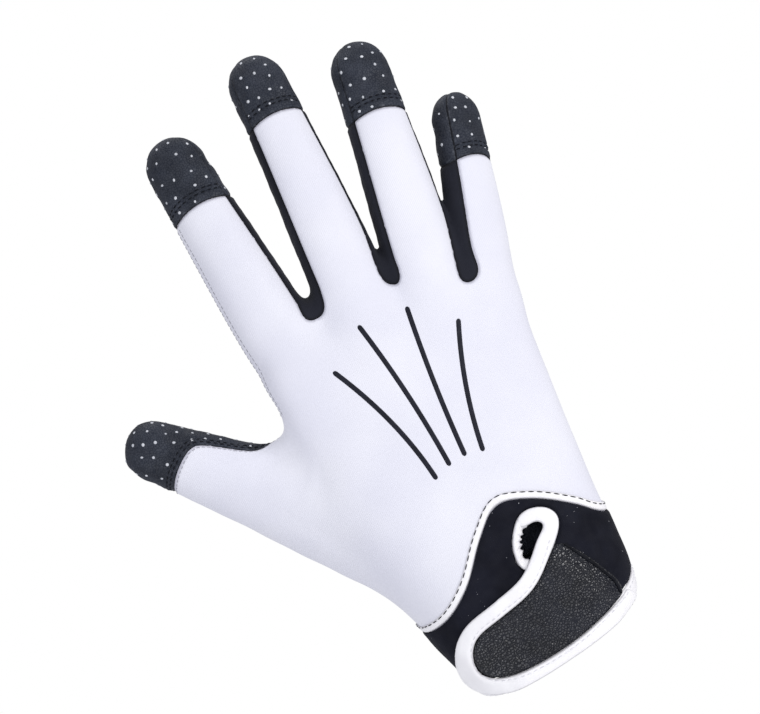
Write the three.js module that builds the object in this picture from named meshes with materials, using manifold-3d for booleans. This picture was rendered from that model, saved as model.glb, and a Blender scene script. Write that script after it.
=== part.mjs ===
// A right-hand grip glove for handball, held open at its full form.
// Frame: millimetres, +Z from the wrist opening to the fingers, -Y out of the back of the hand,
// -X to the thumb. The origin is the centre of the wrist opening.
import * as THREE from "three";
import { mergeVertices } from "three/addons/utils/BufferGeometryUtils.js";
import Module from "manifold-3d";

const wasm = await Module();
wasm.setup();

// Sizes of the hand that the glove is cut for, over the cloth.
const PALM_LENGTH = 143; // centre of the wrist opening to the web beside the middle finger
const PALM_WIDTH = 92; // across the knuckles
const PALM_DEPTH = 30; // back to palm at the middle of the hand
const WRIST_WIDTH = 74;
const WRIST_DEPTH = 41;
const FINGER_WIDTH = 24;
const FINGER_DEPTH = 20.5;
const THUMB_WIDTH = 25;
const THUMB_DEPTH = 22.5;
const INDEX_LENGTH = 105; // each from its knuckle to its tip
const MIDDLE_LENGTH = 116;
const RING_LENGTH = 110;
const LITTLE_LENGTH = 91;
const THUMB_LENGTH = 130; // from the heel of the hand to its tip

// Cloth, seams and trim.
const WALL = 1.2; // stretch cloth and grip leather
const SEAM_GAP = 0.3; // between two pieces that are sewn together
const CAP_LENGTH = 28; // grip cap on the back of a finger
const THUMB_CAP_LENGTH = 19;
const THUMB_PANEL_LENGTH = 80; // leather of the thumb, from its tip to its seam with the palm
const SEAM_ANGLE = 66; // from the back of a finger to the seam of its side strip, degrees
const SIDE_STRIP_ANGLE = 62; // a side strip's share of the way round its finger, degrees
const WEB_RISE = 5; // how much higher the palm's edge lies in a web than the back's

// Wrist cuff and strap.
const CUFF_HEIGHT = 54; // wrist opening to the peak of the cuff's top edge, over the back of the hand
const CUFF_WALL = 2.4;
const CUFF_RISE = 0.9; // how far the neoprene stands out of the cloth
const RIM_DROP = 20; // the wrist opening hangs lower at the back of the hand, degrees
const RIM_SLANT = 6; // and lower at the thumb side, degrees
const HEM_WIDTH = 6; // tape round the wrist opening
const PIPING_WIDTH = 2.6; // strip along the cuff's top edge
const PIPING_RISE = 0.4;
const STRAP_BINDING_WIDTH = 5.4; // tape round the strap
const SLIT_BINDING_WIDTH = 3.4; // tape round the keyhole slit
const STRAP_THICKNESS = 1.8;

// How finely round forms are cut into flats.
const PALM_SIDES = 24;
const DIGIT_SIDES = 14;
const TIP_RINGS = 3;
const TIP_STEP = 0.35; // share of a ring's step that is left between the last ring and the tip
const TIP_FULLNESS = 0.9; // exponent of the fall of the tip's rings: less is blunter
const LEAST_HALF = 0.4; // no section's half size is less
const CUTTER_STEPS = 4; // flats across the outer side of a sector

// How far the shapes that divide the panels reach.
const FAR = 90; // past the glove
const TIP_REACH = 22; // past the tips of two neighbouring fingers
const PAST_TIP = 1.12; // end of a digit's divisions, as a share of its length
const DIGIT_REACH = 1.1; // from a digit's centre, as a share of its width
const PANEL_SKIN = 0.5; // out of the cloth
const UNDERSIDE_SKIN = 4; // out of the undersides of the fingers, down into the webs
const OVERLAP = 0.01; // of the two halves of a division

const deg = THREE.MathUtils.degToRad;
const BACKWARD = new THREE.Vector3(0, -1, 0);
const UP = new THREE.Vector3(0, 0, 1);

// Each digit from its knuckle. x is a share of the palm's width, y of its depth, z of its length.
// Leans and curls are degrees at the knuckle and at the tip. Roll turns its back to the little finger's side.
// leftSeam and rightSeam are the angles from its back to the edges of the back panel.
const DIGITS = {
  index: {
    x: -0.355, y: -0.1, z: 0.781, length: INDEX_LENGTH, lean: [-4, -3], curl: [-3, 9], roll: -2,
    width: FINGER_WIDTH * 1.02, depth: FINGER_DEPTH, cap: CAP_LENGTH,
    leftSeam: 88, rightSeam: SEAM_ANGLE,
  },
  middle: {
    x: -0.075, y: -0.13, z: 0.792, length: MIDDLE_LENGTH, lean: [5.5, 1.5], curl: [-2, 11], roll: 12,
    width: FINGER_WIDTH, depth: FINGER_DEPTH, cap: CAP_LENGTH * 0.88,
    leftSeam: SEAM_ANGLE, rightSeam: SEAM_ANGLE,
  },
  ring: {
    x: 0.175, y: -0.03, z: 0.76, length: RING_LENGTH, lean: [11.5, 9], curl: [-1, 12], roll: 18,
    width: FINGER_WIDTH, depth: FINGER_DEPTH, cap: CAP_LENGTH,
    leftSeam: SEAM_ANGLE, rightSeam: SEAM_ANGLE,
  },
  little: {
    x: 0.32, y: 0.13, z: 0.693, length: LITTLE_LENGTH, lean: [22, 15.5], curl: [0, 12], roll: 38,
    width: FINGER_WIDTH * 0.87, depth: FINGER_DEPTH * 0.86, cap: CAP_LENGTH * 0.9,
    leftSeam: SEAM_ANGLE, rightSeam: 62,
  },
  thumb: {
    x: -0.157, y: 0.12, z: 0.224, length: THUMB_LENGTH, lean: [-38, -44], curl: [6, -6], roll: -22,
    width: THUMB_WIDTH, depth: THUMB_DEPTH, cap: THUMB_CAP_LENGTH,
    leftSeam: 82, rightSeam: 70,
  },
};
const FINGERS = ["index", "middle", "ring", "little"];

// Sections of a finger and of the thumb: along is a share of the length, width and depth of the digit's own.
const FINGER_ROWS = [
  { along: 0, width: 0.9, depth: 0.7 },
  { along: 0.16, width: 1.1, depth: 0.98 },
  { along: 0.34, width: 1.07, depth: 1 },
  { along: 0.54, width: 1.0, depth: 0.95 },
  { along: 0.68, width: 0.94, depth: 0.87 },
  { along: 0.8, width: 0.91, depth: 0.82 },
];
const THUMB_ROWS = [
  { along: 0, width: 1.42, depth: 1.35 },
  { along: 0.2, width: 1.5, depth: 1.42 },
  { along: 0.42, width: 1.38, depth: 1.26 },
  { along: 0.6, width: 1.2, depth: 1.1 },
  { along: 0.73, width: 1.04, depth: 1.0 },
  { along: 0.85, width: 0.94, depth: 0.92 },
];

// Sections of the wrist and of the palm: z is a share of the palm's length, left and right are shares of
// the wrist's or the palm's width, and back and front of its depth.
const WRIST_ROWS = [
  { z: -0.14, left: -0.385, right: 0.4, back: -0.48, front: 0.48, roll: 0 },
  { z: 0, left: -0.43, right: 0.45, back: -0.5, front: 0.5, roll: 0 },
  { z: 0.09, left: -0.48, right: 0.485, back: -0.51, front: 0.5, roll: 0 },
  { z: 0.18, left: -0.5, right: 0.5, back: -0.5, front: 0.48, roll: 0 },
  { z: 0.29, left: -0.51, right: 0.515, back: -0.46, front: 0.455, roll: 2 },
];
const PALM_ROWS = [
  { z: 0.43, left: -0.43, right: 0.435, back: -0.58, front: 0.58, roll: 4 },
  { z: 0.57, left: -0.465, right: 0.46, back: -0.54, front: 0.52, roll: 6 },
  { z: 0.7, left: -0.495, right: 0.485, back: -0.5, front: 0.47, roll: 8 },
  { z: 0.8, left: -0.5, right: 0.5, back: -0.46, front: 0.44, roll: 9 },
  { z: 0.88, left: -0.48, right: 0.46, back: -0.39, front: 0.38, roll: 9 },
  { z: 0.935, left: -0.41, right: 0.36, back: -0.29, front: 0.29, roll: 9 },
  { z: 0.975, left: -0.34, right: 0.24, back: -0.17, front: 0.18, roll: 9 },
  { z: 1, left: -0.25, right: 0.13, back: -0.05, front: 0.05, roll: 9 },
];
// The web of skin between the thumb and the palm, as shares of the palm.
const THUMB_WEB_ROWS = [
  { z: 0.3, left: -0.36, right: -0.1, back: -0.3, front: 0.5, roll: 0 },
  { z: 0.45, left: -0.5, right: -0.15, back: -0.32, front: 0.5, roll: 0 },
  { z: 0.58, left: -0.62, right: -0.22, back: -0.26, front: 0.44, roll: 0 },
  { z: 0.67, left: -0.66, right: -0.32, back: -0.18, front: 0.36, roll: 0 },
  { z: 0.715, left: -0.6, right: -0.44, back: -0.06, front: 0.24, roll: 0 },
];
const PALM_ROUNDING = 2.5; // exponent of the rounded sections: 2 is an ellipse, more is squarer
const DIGIT_ROUNDING = 2.25;

// The lowest point of the back panel's edge in the web right of each finger, as shares of the palm.
const WEBS = {
  index: { x: -0.24, z: 0.951 },
  middle: { x: 0.087, z: 0.937 },
  ring: { x: 0.35, z: 0.853 },
};

// The cuff's top edge over the back of the hand and over the palm, from the thumb side. Here and below,
// x is a share of the wrist's width and z of the cuff's height.
const CUFF_EDGE_BACK = [
  { x: -0.72, z: 0.47 },
  { x: -0.43, z: 0.48 },
  { x: -0.27, z: 0.61 },
  { x: -0.095, z: 0.86 },
  { x: 0.055, z: 1 },
  { x: 0.23, z: 0.925 },
  { x: 0.4, z: 0.76 },
  { x: 0.5, z: 0.63 },
  { x: 0.72, z: 0.5 },
];
const CUFF_EDGE_PALM = [
  { x: -0.72, z: 0.47 },
  { x: -0.43, z: 0.5 },
  { x: 0, z: 0.56 },
  { x: 0.5, z: 0.63 },
  { x: 0.72, z: 0.5 },
];

// The strap's taped edge from its top corner round its free end, and its sewn edge back up.
const STRAP_EDGE = [
  { x: 0.215, z: 0.62 },
  { x: 0.13, z: 0.46 },
  { x: 0.02, z: 0.36 },
  { x: -0.16, z: 0.3 },
  { x: -0.3, z: 0.25 },
  { x: -0.355, z: 0.14 },
  { x: -0.34, z: 0.02 },
  { x: -0.25, z: -0.045 },
  { x: -0.1, z: -0.06 },
  { x: 0.12, z: -0.03 },
  { x: 0.39, z: 0.07 },
];
const STRAP_SEAM = [
  { x: 0.385, z: 0.17 },
  { x: 0.33, z: 0.34 },
  { x: 0.26, z: 0.52 },
];
// The keyhole slit beside the strap.
const SLIT_EDGE = [
  { x: 0.22, z: 0.7 },
  { x: 0.17, z: 0.745 },
  { x: 0.11, z: 0.71 },
  { x: 0.07, z: 0.62 },
  { x: 0.065, z: 0.52 },
  { x: 0.13, z: 0.585 },
  { x: 0.19, z: 0.65 },
];

// A geometry as a solid for joining and cutting.
function solid(geometry) {
  const bare = geometry.clone();
  for (const name of Object.keys(bare.attributes)) {
    if (name !== "position") bare.deleteAttribute(name);
  }
  const merged = mergeVertices(bare, 1e-4);
  return new wasm.Manifold(
    new wasm.Mesh({
      numProp: 3,
      vertProperties: new Float32Array(merged.attributes.position.array),
      triVerts: new Uint32Array(merged.index.array),
    }),
  );
}

// The largest body of a solid, as a named mesh.
function mesh(name, body, material) {
  const whole = body.decompose().sort((one, other) => other.volume() - one.volume())[0];
  const data = whole.getMesh();
  const geometry = new THREE.BufferGeometry();
  geometry.setAttribute("position", new THREE.BufferAttribute(data.vertProperties, 3));
  geometry.setIndex(new THREE.BufferAttribute(data.triVerts, 1));
  geometry.computeVertexNormals();
  const made = new THREE.Mesh(geometry, material);
  made.name = name;
  return made;
}

function union(bodies) {
  return bodies.reduce((all, next) => all.add(next));
}

// A closed skin through rings of equal counts, each counter-clockwise seen from the last ring's side.
function loft(rings) {
  const count = rings[0].length;
  const points = rings.flat();
  const faces = [];
  for (let row = 0; row + 1 < rings.length; row++) {
    for (let i = 0; i < count; i++) {
      const a = row * count + i;
      const b = row * count + ((i + 1) % count);
      faces.push(a, b, b + count, a, b + count, a + count);
    }
  }
  [0, rings.length - 1].forEach((row) => {
    const middle = new THREE.Vector3();
    rings[row].forEach((point) => middle.addScaledVector(point, 1 / count));
    const hub = points.push(middle) - 1;
    for (let i = 0; i < count; i++) {
      const a = row * count + i;
      const b = row * count + ((i + 1) % count);
      faces.push(...(row === 0 ? [hub, b, a] : [hub, a, b]));
    }
  });
  return solid(new THREE.BufferGeometry().setFromPoints(points).setIndex(faces));
}

// A station is one section: its centre, the way the limb runs, its right side, its back, and its half sizes.
function station(centre, along, roll, halfWidth, halfDepth) {
  const right = new THREE.Vector3().crossVectors(along, BACKWARD).normalize();
  const back = new THREE.Vector3().crossVectors(right, along).normalize();
  right.applyAxisAngle(along, deg(roll));
  back.applyAxisAngle(along, deg(roll));
  return { centre, along, right, back, halfWidth, halfDepth };
}

function heading(lean, curl) {
  const [across, inward] = [deg(lean), deg(curl)];
  return new THREE.Vector3(
    Math.sin(across) * Math.cos(inward),
    Math.sin(inward),
    Math.cos(across) * Math.cos(inward),
  );
}

function digitCurve(digit) {
  const knuckle = new THREE.Vector3(digit.x * PALM_WIDTH, digit.y * PALM_DEPTH, digit.z * PALM_LENGTH);
  const joint = knuckle.clone().addScaledVector(heading(digit.lean[0], digit.curl[0]), digit.length / 2);
  const tip = joint.clone().addScaledVector(heading(digit.lean[1], digit.curl[1]), digit.length / 2);
  return new THREE.QuadraticBezierCurve3(knuckle, joint, tip);
}

function digitStation(digit, along, width, depth) {
  const curve = digitCurve(digit);
  const inside = Math.min(along, 1);
  const way = curve.getTangentAt(inside);
  const centre = curve.getPointAt(inside).addScaledVector(way, (along - inside) * digit.length);
  return station(centre, way, digit.roll, (digit.width * width) / 2, (digit.depth * depth) / 2);
}

// The sections of a digit down to its rounded tip.
function digitStations(digit, rows) {
  const last = rows[rows.length - 1];
  const round = digit.width / 2;
  const body = rows.map((row) => digitStation(digit, row.along, row.width, row.depth));
  for (let ring = 1; ring <= TIP_RINGS; ring++) {
    const angle = (ring / (TIP_RINGS + TIP_STEP)) * (Math.PI / 2);
    const along = 1 - (round / digit.length) * (1 - Math.sin(angle));
    const share = Math.cos(angle) ** TIP_FULLNESS;
    body.push(digitStation(digit, along, last.width * share, last.depth * share));
  }
  return body;
}

// The sections of a table whose shares are of a width and a depth.
function rowStations(rows, width, depth) {
  return rows.map((row) => {
    const centre = new THREE.Vector3(
      ((row.left + row.right) / 2) * width,
      ((row.back + row.front) / 2) * depth,
      row.z * PALM_LENGTH,
    );
    const halfWidth = ((row.right - row.left) / 2) * width;
    const halfDepth = ((row.front - row.back) / 2) * depth;
    return station(centre, UP, row.roll, halfWidth, halfDepth);
  });
}

function palmStations() {
  const wrist = rowStations(WRIST_ROWS, WRIST_WIDTH, WRIST_DEPTH);
  return [...wrist, ...rowStations(PALM_ROWS, PALM_WIDTH, PALM_DEPTH)];
}

// A point of a section's rounded outline, at an angle from its back towards its right side.
function outlinePoint(place, angle, rounding, skin) {
  const power = 2 / rounding;
  const across = Math.sign(Math.sin(angle)) * Math.abs(Math.sin(angle)) ** power;
  const outward = Math.sign(Math.cos(angle)) * Math.abs(Math.cos(angle)) ** power;
  return place.centre
    .clone()
    .addScaledVector(place.right, across * Math.max(place.halfWidth + skin, LEAST_HALF))
    .addScaledVector(place.back, outward * Math.max(place.halfDepth + skin, LEAST_HALF));
}

function skinOf(stations, sides, rounding, skin) {
  const rings = stations.map((place) => {
    const ring = [];
    for (let i = 0; i < sides; i++) {
      ring.push(outlinePoint(place, (2 * Math.PI * i) / sides, rounding, skin));
    }
    return ring;
  });
  return loft(rings);
}

// One digit with a skin added to, or taken off, all round and at its tip.
function digitForm(name, skin) {
  const digit = DIGITS[name];
  const rows = name === "thumb" ? THUMB_ROWS : FINGER_ROWS;
  const longer = { ...digit, length: digit.length + skin };
  return skinOf(digitStations(longer, rows), DIGIT_SIDES, DIGIT_ROUNDING, skin);
}

// The wrist, palm and thumb web with a skin added or taken off.
function palmForm(skin) {
  const web = rowStations(THUMB_WEB_ROWS, PALM_WIDTH, PALM_DEPTH);
  return skinOf(palmStations(), PALM_SIDES, PALM_ROUNDING, skin).add(
    skinOf(web, DIGIT_SIDES, DIGIT_ROUNDING, skin),
  );
}

// The whole hand with a skin added or taken off.
function handForm(skin) {
  return union([palmForm(skin), ...Object.keys(DIGITS).map((name) => digitForm(name, skin))]);
}

// The wrist as far as the cuff goes, between two skins.
function wristLayer(inner, outer) {
  const form = (skin) => palmForm(skin).add(digitForm("thumb", skin));
  return form(outer).subtract(form(inner));
}

// A sector of a limb between two angles from its back. grow moves its two faces outwards.
function sector(stations, from, to, grow, reach) {
  const middle = deg((from + to) / 2);
  const half = deg((to - from) / 2);
  const rings = stations.map((place) => {
    const ray = (angle) => {
      const across = place.right.clone().multiplyScalar(Math.sin(angle));
      return across.addScaledVector(place.back, Math.cos(angle));
    };
    const apex = place.centre.clone().addScaledVector(ray(middle), -grow / Math.sin(half));
    const ring = [apex];
    for (let i = 0; i <= CUTTER_STEPS; i++) {
      const angle = middle + half * ((2 * i) / CUTTER_STEPS - 1);
      const point = place.centre.clone().addScaledVector(ray(angle), reach);
      if (i === 0) point.addScaledVector(ray(middle - half - Math.PI / 2), grow);
      if (i === CUTTER_STEPS) point.addScaledVector(ray(middle + half + Math.PI / 2), grow);
      ring.push(point);
    }
    return ring;
  });
  return loft(rings);
}

// The stations that a digit's divisions follow, the last of them past its tip.
function dividingStations(digit) {
  return [0, 0.25, 0.5, 0.75, 0.97, PAST_TIP].map((along) => digitStation(digit, along, 1, 1));
}

// The part of a digit between two angles from its back, and nothing of its neighbours.
function digitSector(name, from, to, grow, skin) {
  const digit = DIGITS[name];
  const reach = digit.width * DIGIT_REACH;
  return sector(dividingStations(digit), from, to, grow, reach).intersect(digitForm(name, skin));
}

// The part of a digit from a distance before its tip.
function tipZone(name, length, grow) {
  const digit = DIGITS[name];
  const start = 1 - (length + grow) / digit.length;
  const half = digit.width * DIGIT_REACH;
  const corners = [[-half, half], [half, half], [half, -half], [-half, -half]];
  const rings = [start, (1 + start) / 2, PAST_TIP].map((along) => {
    const place = digitStation(digit, along, 1, 1);
    return corners.map(([across, outward]) =>
      place.centre.clone().addScaledVector(place.right, across).addScaledVector(place.back, outward),
    );
  });
  return loft(rings);
}

function capZone(name, grow) {
  return tipZone(name, DIGITS[name].cap, grow);
}

// An outline in the plane of the hand, carried through from one depth to another.
function prism(points, from, to) {
  const settings = { depth: to - from, bevelEnabled: false, steps: 1 };
  const shape = new THREE.Shape(points);
  return solid(new THREE.ExtrudeGeometry(shape, settings).rotateX(Math.PI / 2).translate(0, to, 0));
}

function flat(x, z) {
  return new THREE.Vector2(x, z);
}

// Everything below the webs. On the palm's side the edge lies higher.
function belowWebs(grow) {
  const half = (rise, from, to) => {
    const edge = Object.values(WEBS).map(({ x, z }) => flat(x * PALM_WIDTH, z * PALM_LENGTH + rise));
    const sides = [flat(-FAR, -FAR), flat(FAR, -FAR), flat(FAR, edge[2].y - FAR / 2)];
    return prism([...sides, ...edge.reverse(), flat(-FAR, edge[2].y)], from, to);
  };
  return half(grow, -FAR, 0).add(half(grow + WEB_RISE, -OVERLAP, FAR));
}

// The space between two fingers, from the middle of one to the middle of the other, above their web.
function gapZone(name, next, grow) {
  const middleLine = (digit) => {
    const curve = digitCurve(digit);
    const above = curve.getPointAt(1).addScaledVector(curve.getTangentAt(1), TIP_REACH);
    return [...[0, 0.5, 1].map((share) => curve.getPointAt(share)), above].map(({ x, z }) => flat(x, z));
  };
  const [left, right] = [middleLine(DIGITS[name]), middleLine(DIGITS[next])];
  return prism([...right, ...left.reverse()], -FAR, FAR).subtract(belowWebs(grow));
}

// The leather of the thumb, past its seam with the palm.
function thumbZone(grow) {
  return tipZone("thumb", THUMB_PANEL_LENGTH, grow).intersect(digitForm("thumb", PANEL_SKIN + grow));
}

// The back of a digit, from seam to seam.
function digitBack(name, grow) {
  const { leftSeam, rightSeam } = DIGITS[name];
  return digitSector(name, -leftSeam, rightSeam, grow, PANEL_SKIN);
}

// The region of the back panel, with the finger caps.
function backRegion(grow) {
  const fingers = FINGERS.map((name) => digitBack(name, grow));
  const thumb = digitBack("thumb", grow).subtract(capZone("thumb", SEAM_GAP - grow));
  const hand = sector(palmStations(), -90, 90, grow, FAR * 2).intersect(belowWebs(grow));
  return union([hand, thumb, ...fingers]);
}

// The region of the grip leather on the underside of the fingers.
function undersideRegion(grow) {
  const half = 180 - SEAM_ANGLE - SIDE_STRIP_ANGLE;
  return union(FINGERS.map((name) => digitSector(name, 180 - half, 180 + half, grow, UNDERSIDE_SKIN)));
}

// A smooth outline through a table of points that are shares of the cuff.
function cuffCurve(table, closed) {
  const points = table.map(({ x, z }) => new THREE.Vector3(x * WRIST_WIDTH, z * CUFF_HEIGHT, 0));
  const curve = new THREE.CatmullRomCurve3(points, closed);
  const places = curve.getPoints(table.length * 2).map((point) => flat(point.x, point.y));
  return closed ? places.slice(0, -1) : places;
}

// A closed outline moved outwards.
function offset(points, distance) {
  const turn = THREE.ShapeUtils.isClockWise(points) ? -1 : 1;
  return points.map((point, i) => {
    const before = points[(i + points.length - 1) % points.length];
    const after = points[(i + 1) % points.length];
    const way = after.clone().sub(before).normalize();
    return point.clone().addScaledVector(flat(way.y, -way.x), distance * turn);
  });
}

// Everything below the cuff's top edge, which is lowered by drop.
function cuffZone(drop) {
  const halves = [
    { table: CUFF_EDGE_BACK, from: -FAR, to: 0 },
    { table: CUFF_EDGE_PALM, from: -OVERLAP, to: FAR },
  ];
  return union(
    halves.map(({ table, from, to }) => {
      const edge = cuffCurve(table, false).map((point) => flat(point.x, point.y - drop));
      const last = edge[edge.length - 1];
      return prism([...edge, flat(FAR, last.y), flat(FAR, -FAR), flat(-FAR, -FAR)], from, to);
    }),
  );
}

// Everything below the plane of the wrist opening, raised by lift.
function belowRim(lift) {
  const normal = new THREE.Vector3(-Math.tan(deg(RIM_SLANT)), -Math.tan(deg(RIM_DROP)), 1).normalize();
  const turn = new THREE.Quaternion().setFromUnitVectors(UP, normal);
  const block = new THREE.BoxGeometry(2 * FAR, 2 * FAR, FAR).translate(0, 0, lift - FAR / 2);
  return solid(block.applyQuaternion(turn));
}

const white = new THREE.MeshStandardMaterial({ color: 0xe9e8f2, roughness: 0.85 });
const gripBlack = new THREE.MeshStandardMaterial({ color: 0x24262c, roughness: 0.75 });
const strapBlack = new THREE.MeshStandardMaterial({ color: 0x1b1c20, roughness: 0.5 });
const cuffBlack = new THREE.MeshStandardMaterial({ color: 0x121216, roughness: 0.9 });
const tapeWhite = new THREE.MeshStandardMaterial({ color: 0xf4f3f6, roughness: 0.7 });

const glove = new THREE.Group();

// The cloth and leather of the hand.
const shell = handForm(0).subtract(handForm(-WALL));
const cloth = shell.subtract(cuffZone(0)).subtract(belowRim(0));
const caps = FINGERS.map((name) => capZone(name, SEAM_GAP));
const backPanel = cloth.intersect(backRegion(0)).subtract(union(caps));
glove.add(mesh("back_panel", backPanel, white));

FINGERS.forEach((name) => {
  const cap = cloth.intersect(digitBack(name, 0)).intersect(capZone(name, 0));
  glove.add(mesh(`fingertip_cap_${name}`, cap, gripBlack));
});

const aroundBack = backRegion(SEAM_GAP);
const aroundUnderside = undersideRegion(SEAM_GAP);
const underside = undersideRegion(0);
let leather = cloth.subtract(aroundBack);
FINGERS.slice(0, 3).forEach((name, i) => {
  const next = FINGERS[i + 1];
  const strip = cloth
    .intersect(gapZone(name, next, SEAM_GAP))
    .subtract(aroundBack)
    .subtract(aroundUnderside)
    .subtract(union(caps));
  glove.add(mesh(`side_strip_${name}_${next}`, strip, cuffBlack));
  const tips = union([capZone(name, 0), capZone(next, 0)]);
  leather = leather.subtract(gapZone(name, next, 0).subtract(underside).subtract(tips));
});
glove.add(mesh("palm_panel", leather.subtract(thumbZone(SEAM_GAP)), gripBlack));
glove.add(mesh("thumb_panel", leather.intersect(thumbZone(0)), gripBlack));

// The cuff, its trim and its strap.
const cuffInner = CUFF_RISE - CUFF_WALL;
const slit = cuffCurve(SLIT_EDGE, true);
const slitHole = prism(slit, -FAR, 0);
const slitTape = prism(offset(slit, SLIT_BINDING_WIDTH), -FAR, 0);
const slitClear = prism(offset(slit, SLIT_BINDING_WIDTH + SEAM_GAP), -FAR, 0);
const neoprene = wristLayer(cuffInner, CUFF_RISE).intersect(cuffZone(PIPING_WIDTH + 2 * SEAM_GAP));
const band = neoprene.subtract(belowRim(HEM_WIDTH + SEAM_GAP)).subtract(slitClear);
glove.add(mesh("cuff_band", band, cuffBlack));
const pipingZone = cuffZone(SEAM_GAP).subtract(cuffZone(SEAM_GAP + PIPING_WIDTH));
glove.add(mesh("cuff_piping", wristLayer(-WALL, PIPING_RISE).intersect(pipingZone), tapeWhite));
const hem = wristLayer(cuffInner, CUFF_RISE).intersect(belowRim(HEM_WIDTH)).subtract(belowRim(0));
glove.add(mesh("hem_binding", hem, tapeWhite));
glove.add(mesh("slit_binding", neoprene.intersect(slitTape).subtract(slitHole), tapeWhite));

const strapInner = CUFF_RISE + SEAM_GAP;
const strapLayer = wristLayer(strapInner, strapInner + STRAP_THICKNESS).subtract(belowRim(0));
const sewnEdge = cuffCurve(STRAP_SEAM, false);
const face = [...cuffCurve(STRAP_EDGE, false), ...sewnEdge];
glove.add(mesh("strap_tab", strapLayer.intersect(prism(face, -FAR, 0)), strapBlack));
const tapeOutside = prism(offset(face, STRAP_BINDING_WIDTH + SEAM_GAP), -FAR, 0);
const tape = tapeOutside.subtract(prism(offset(face, SEAM_GAP), -FAR, 0));
const [low, high] = [sewnEdge[0], sewnEdge[sewnEdge.length - 1]];
const around = [flat(low.x, -FAR), flat(FAR, -FAR), flat(FAR, FAR), flat(high.x, FAR)];
const pastSeam = prism([...around, ...sewnEdge.reverse()], -FAR, 0);
glove.add(mesh("strap_binding", strapLayer.intersect(tape).subtract(pastSeam), tapeWhite));

export default glove;
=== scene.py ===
"""A right-hand grip glove for handball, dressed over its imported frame.

Lengths are millimetres until a mesh is made, in the frame's own axes: +Z runs from the wrist
opening to the fingertips, -Y out of the back of the hand and -X to the thumb.
"""

import logging
import math
from collections.abc import Callable, Iterable, Sequence
from dataclasses import dataclass, field
from enum import Enum
from typing import ClassVar

import bpy
import numpy as np
from mathutils import Matrix, Vector
from mathutils.bvhtree import BVHTree
from mathutils.kdtree import KDTree


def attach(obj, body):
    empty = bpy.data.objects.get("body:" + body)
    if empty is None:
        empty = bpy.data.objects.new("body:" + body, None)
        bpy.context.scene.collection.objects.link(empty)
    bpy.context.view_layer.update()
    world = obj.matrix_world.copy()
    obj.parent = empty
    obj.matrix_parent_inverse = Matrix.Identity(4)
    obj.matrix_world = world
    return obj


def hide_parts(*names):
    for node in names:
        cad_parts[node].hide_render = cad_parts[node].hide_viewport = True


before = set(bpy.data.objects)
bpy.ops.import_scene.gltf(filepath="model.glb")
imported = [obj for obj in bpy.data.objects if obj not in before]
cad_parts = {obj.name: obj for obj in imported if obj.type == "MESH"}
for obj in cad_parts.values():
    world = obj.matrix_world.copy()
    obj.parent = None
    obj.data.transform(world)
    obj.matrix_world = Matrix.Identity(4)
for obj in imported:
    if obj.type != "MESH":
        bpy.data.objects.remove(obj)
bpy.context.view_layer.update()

log = logging.getLogger("glove")
Array = np.ndarray
Piece, Material, Node, Socket = bpy.types.Object, bpy.types.Material, bpy.types.Node, bpy.types.NodeSocket
Colour = tuple[float, float, float]
Spot = tuple[float, float, float]

MM = 0.001  # metres in a millimetre
BEYOND = 60.0  # the distance given for a point far from a limb
REACH = 16.0  # how far round a limb its distance is measured
CORE = 0.35  # share of a limb's size inside which only a rough depth is given
CELL = 1.9  # width of the skin's cells before they are divided
CUFF_CELL = 1.25  # the same at the cuff
WAVES = 7  # how many plain waves an irregular one is made of
SIGHT = 45.0  # how far off a digit a line of sight starts
LEAST_LINE = 3.0  # length below which a line over a skin is left out

PALM_LENGTH = 143.0
PALM_WIDTH = 92.0
PALM_DEPTH = 30.0
WRIST_WIDTH = 74.0
WRIST_DEPTH = 41.0
FINGER_WIDTH = 24.0
FINGER_DEPTH = 20.5
WALL = 1.2
CUFF_HEIGHT = 54.0
CUFF_WALL = 2.4
CUFF_RISE = 0.9
RIM_DROP = math.radians(20.0)
RIM_SLANT = math.radians(6.0)
HEM_WIDTH = 6.0
PIPING_WIDTH = 2.6
STRAP_BINDING_WIDTH = 5.4
SLIT_BINDING_WIDTH = 3.4
STRAP_THICKNESS = 1.8
SIDE_STRIP_ANGLE = 62.0
SEAM_ANGLE = 66.0
WEB_RISE = 5.0
THUMB_PANEL_LENGTH = 80.0


def soft_min(one: Array, other: Array, reach: float) -> Array:
    """The lesser of two distances, rounded where they are within reach of each other."""
    near = np.maximum(reach - np.abs(one - other), 0.0) / reach
    return np.minimum(one, other) - near * near * reach / 4


def soft_max(one: Array, other: Array, reach: float) -> Array:
    """The greater of two distances, rounded as soft_min rounds the lesser."""
    return -soft_min(-one, -other, reach)


def ease(low: float, high: float, value: Array) -> Array:
    """A smooth step from 0 at low to 1 at high."""
    share = np.clip((value - low) / (high - low), 0.0, 1.0)
    return share * share * (3.0 - 2.0 * share)


def unit(vectors: Array) -> Array:
    """Vectors, a row each, scaled to a length of 1."""
    return vectors / np.maximum(np.linalg.norm(vectors, axis=-1, keepdims=True), 1e-9)


def ripple(points: Array, size: float, seed: int) -> Array:
    """A smooth irregular wave over space, between about -1 and 1.

    Args:
        points: places, a row each.
        size: typical width of a swell.
        seed: picks one pattern.

    Returns:
        The wave's height at each place.
    """
    draw = np.random.default_rng(seed)
    total = np.zeros(len(points))
    for _ in range(WAVES):
        way = unit(draw.normal(size=3))
        pitch = size * draw.uniform(1.3, 3.2)
        total += np.sin(points @ way * (2 * math.pi / pitch) + draw.uniform(0, 2 * math.pi))
    return total / 3.2


def hermite(share: Array, start: Array, end: Array, leave: Array, reach: Array) -> Array:
    """A smooth curve from start to end at shares from 0 to 1, with the slopes leave and reach there."""
    ends = (1 + 2 * share) * (1 - share) ** 2 * start + share**2 * (3 - 2 * share) * end
    return ends + share * (1 - share) ** 2 * leave + share**2 * (share - 1) * reach


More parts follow.
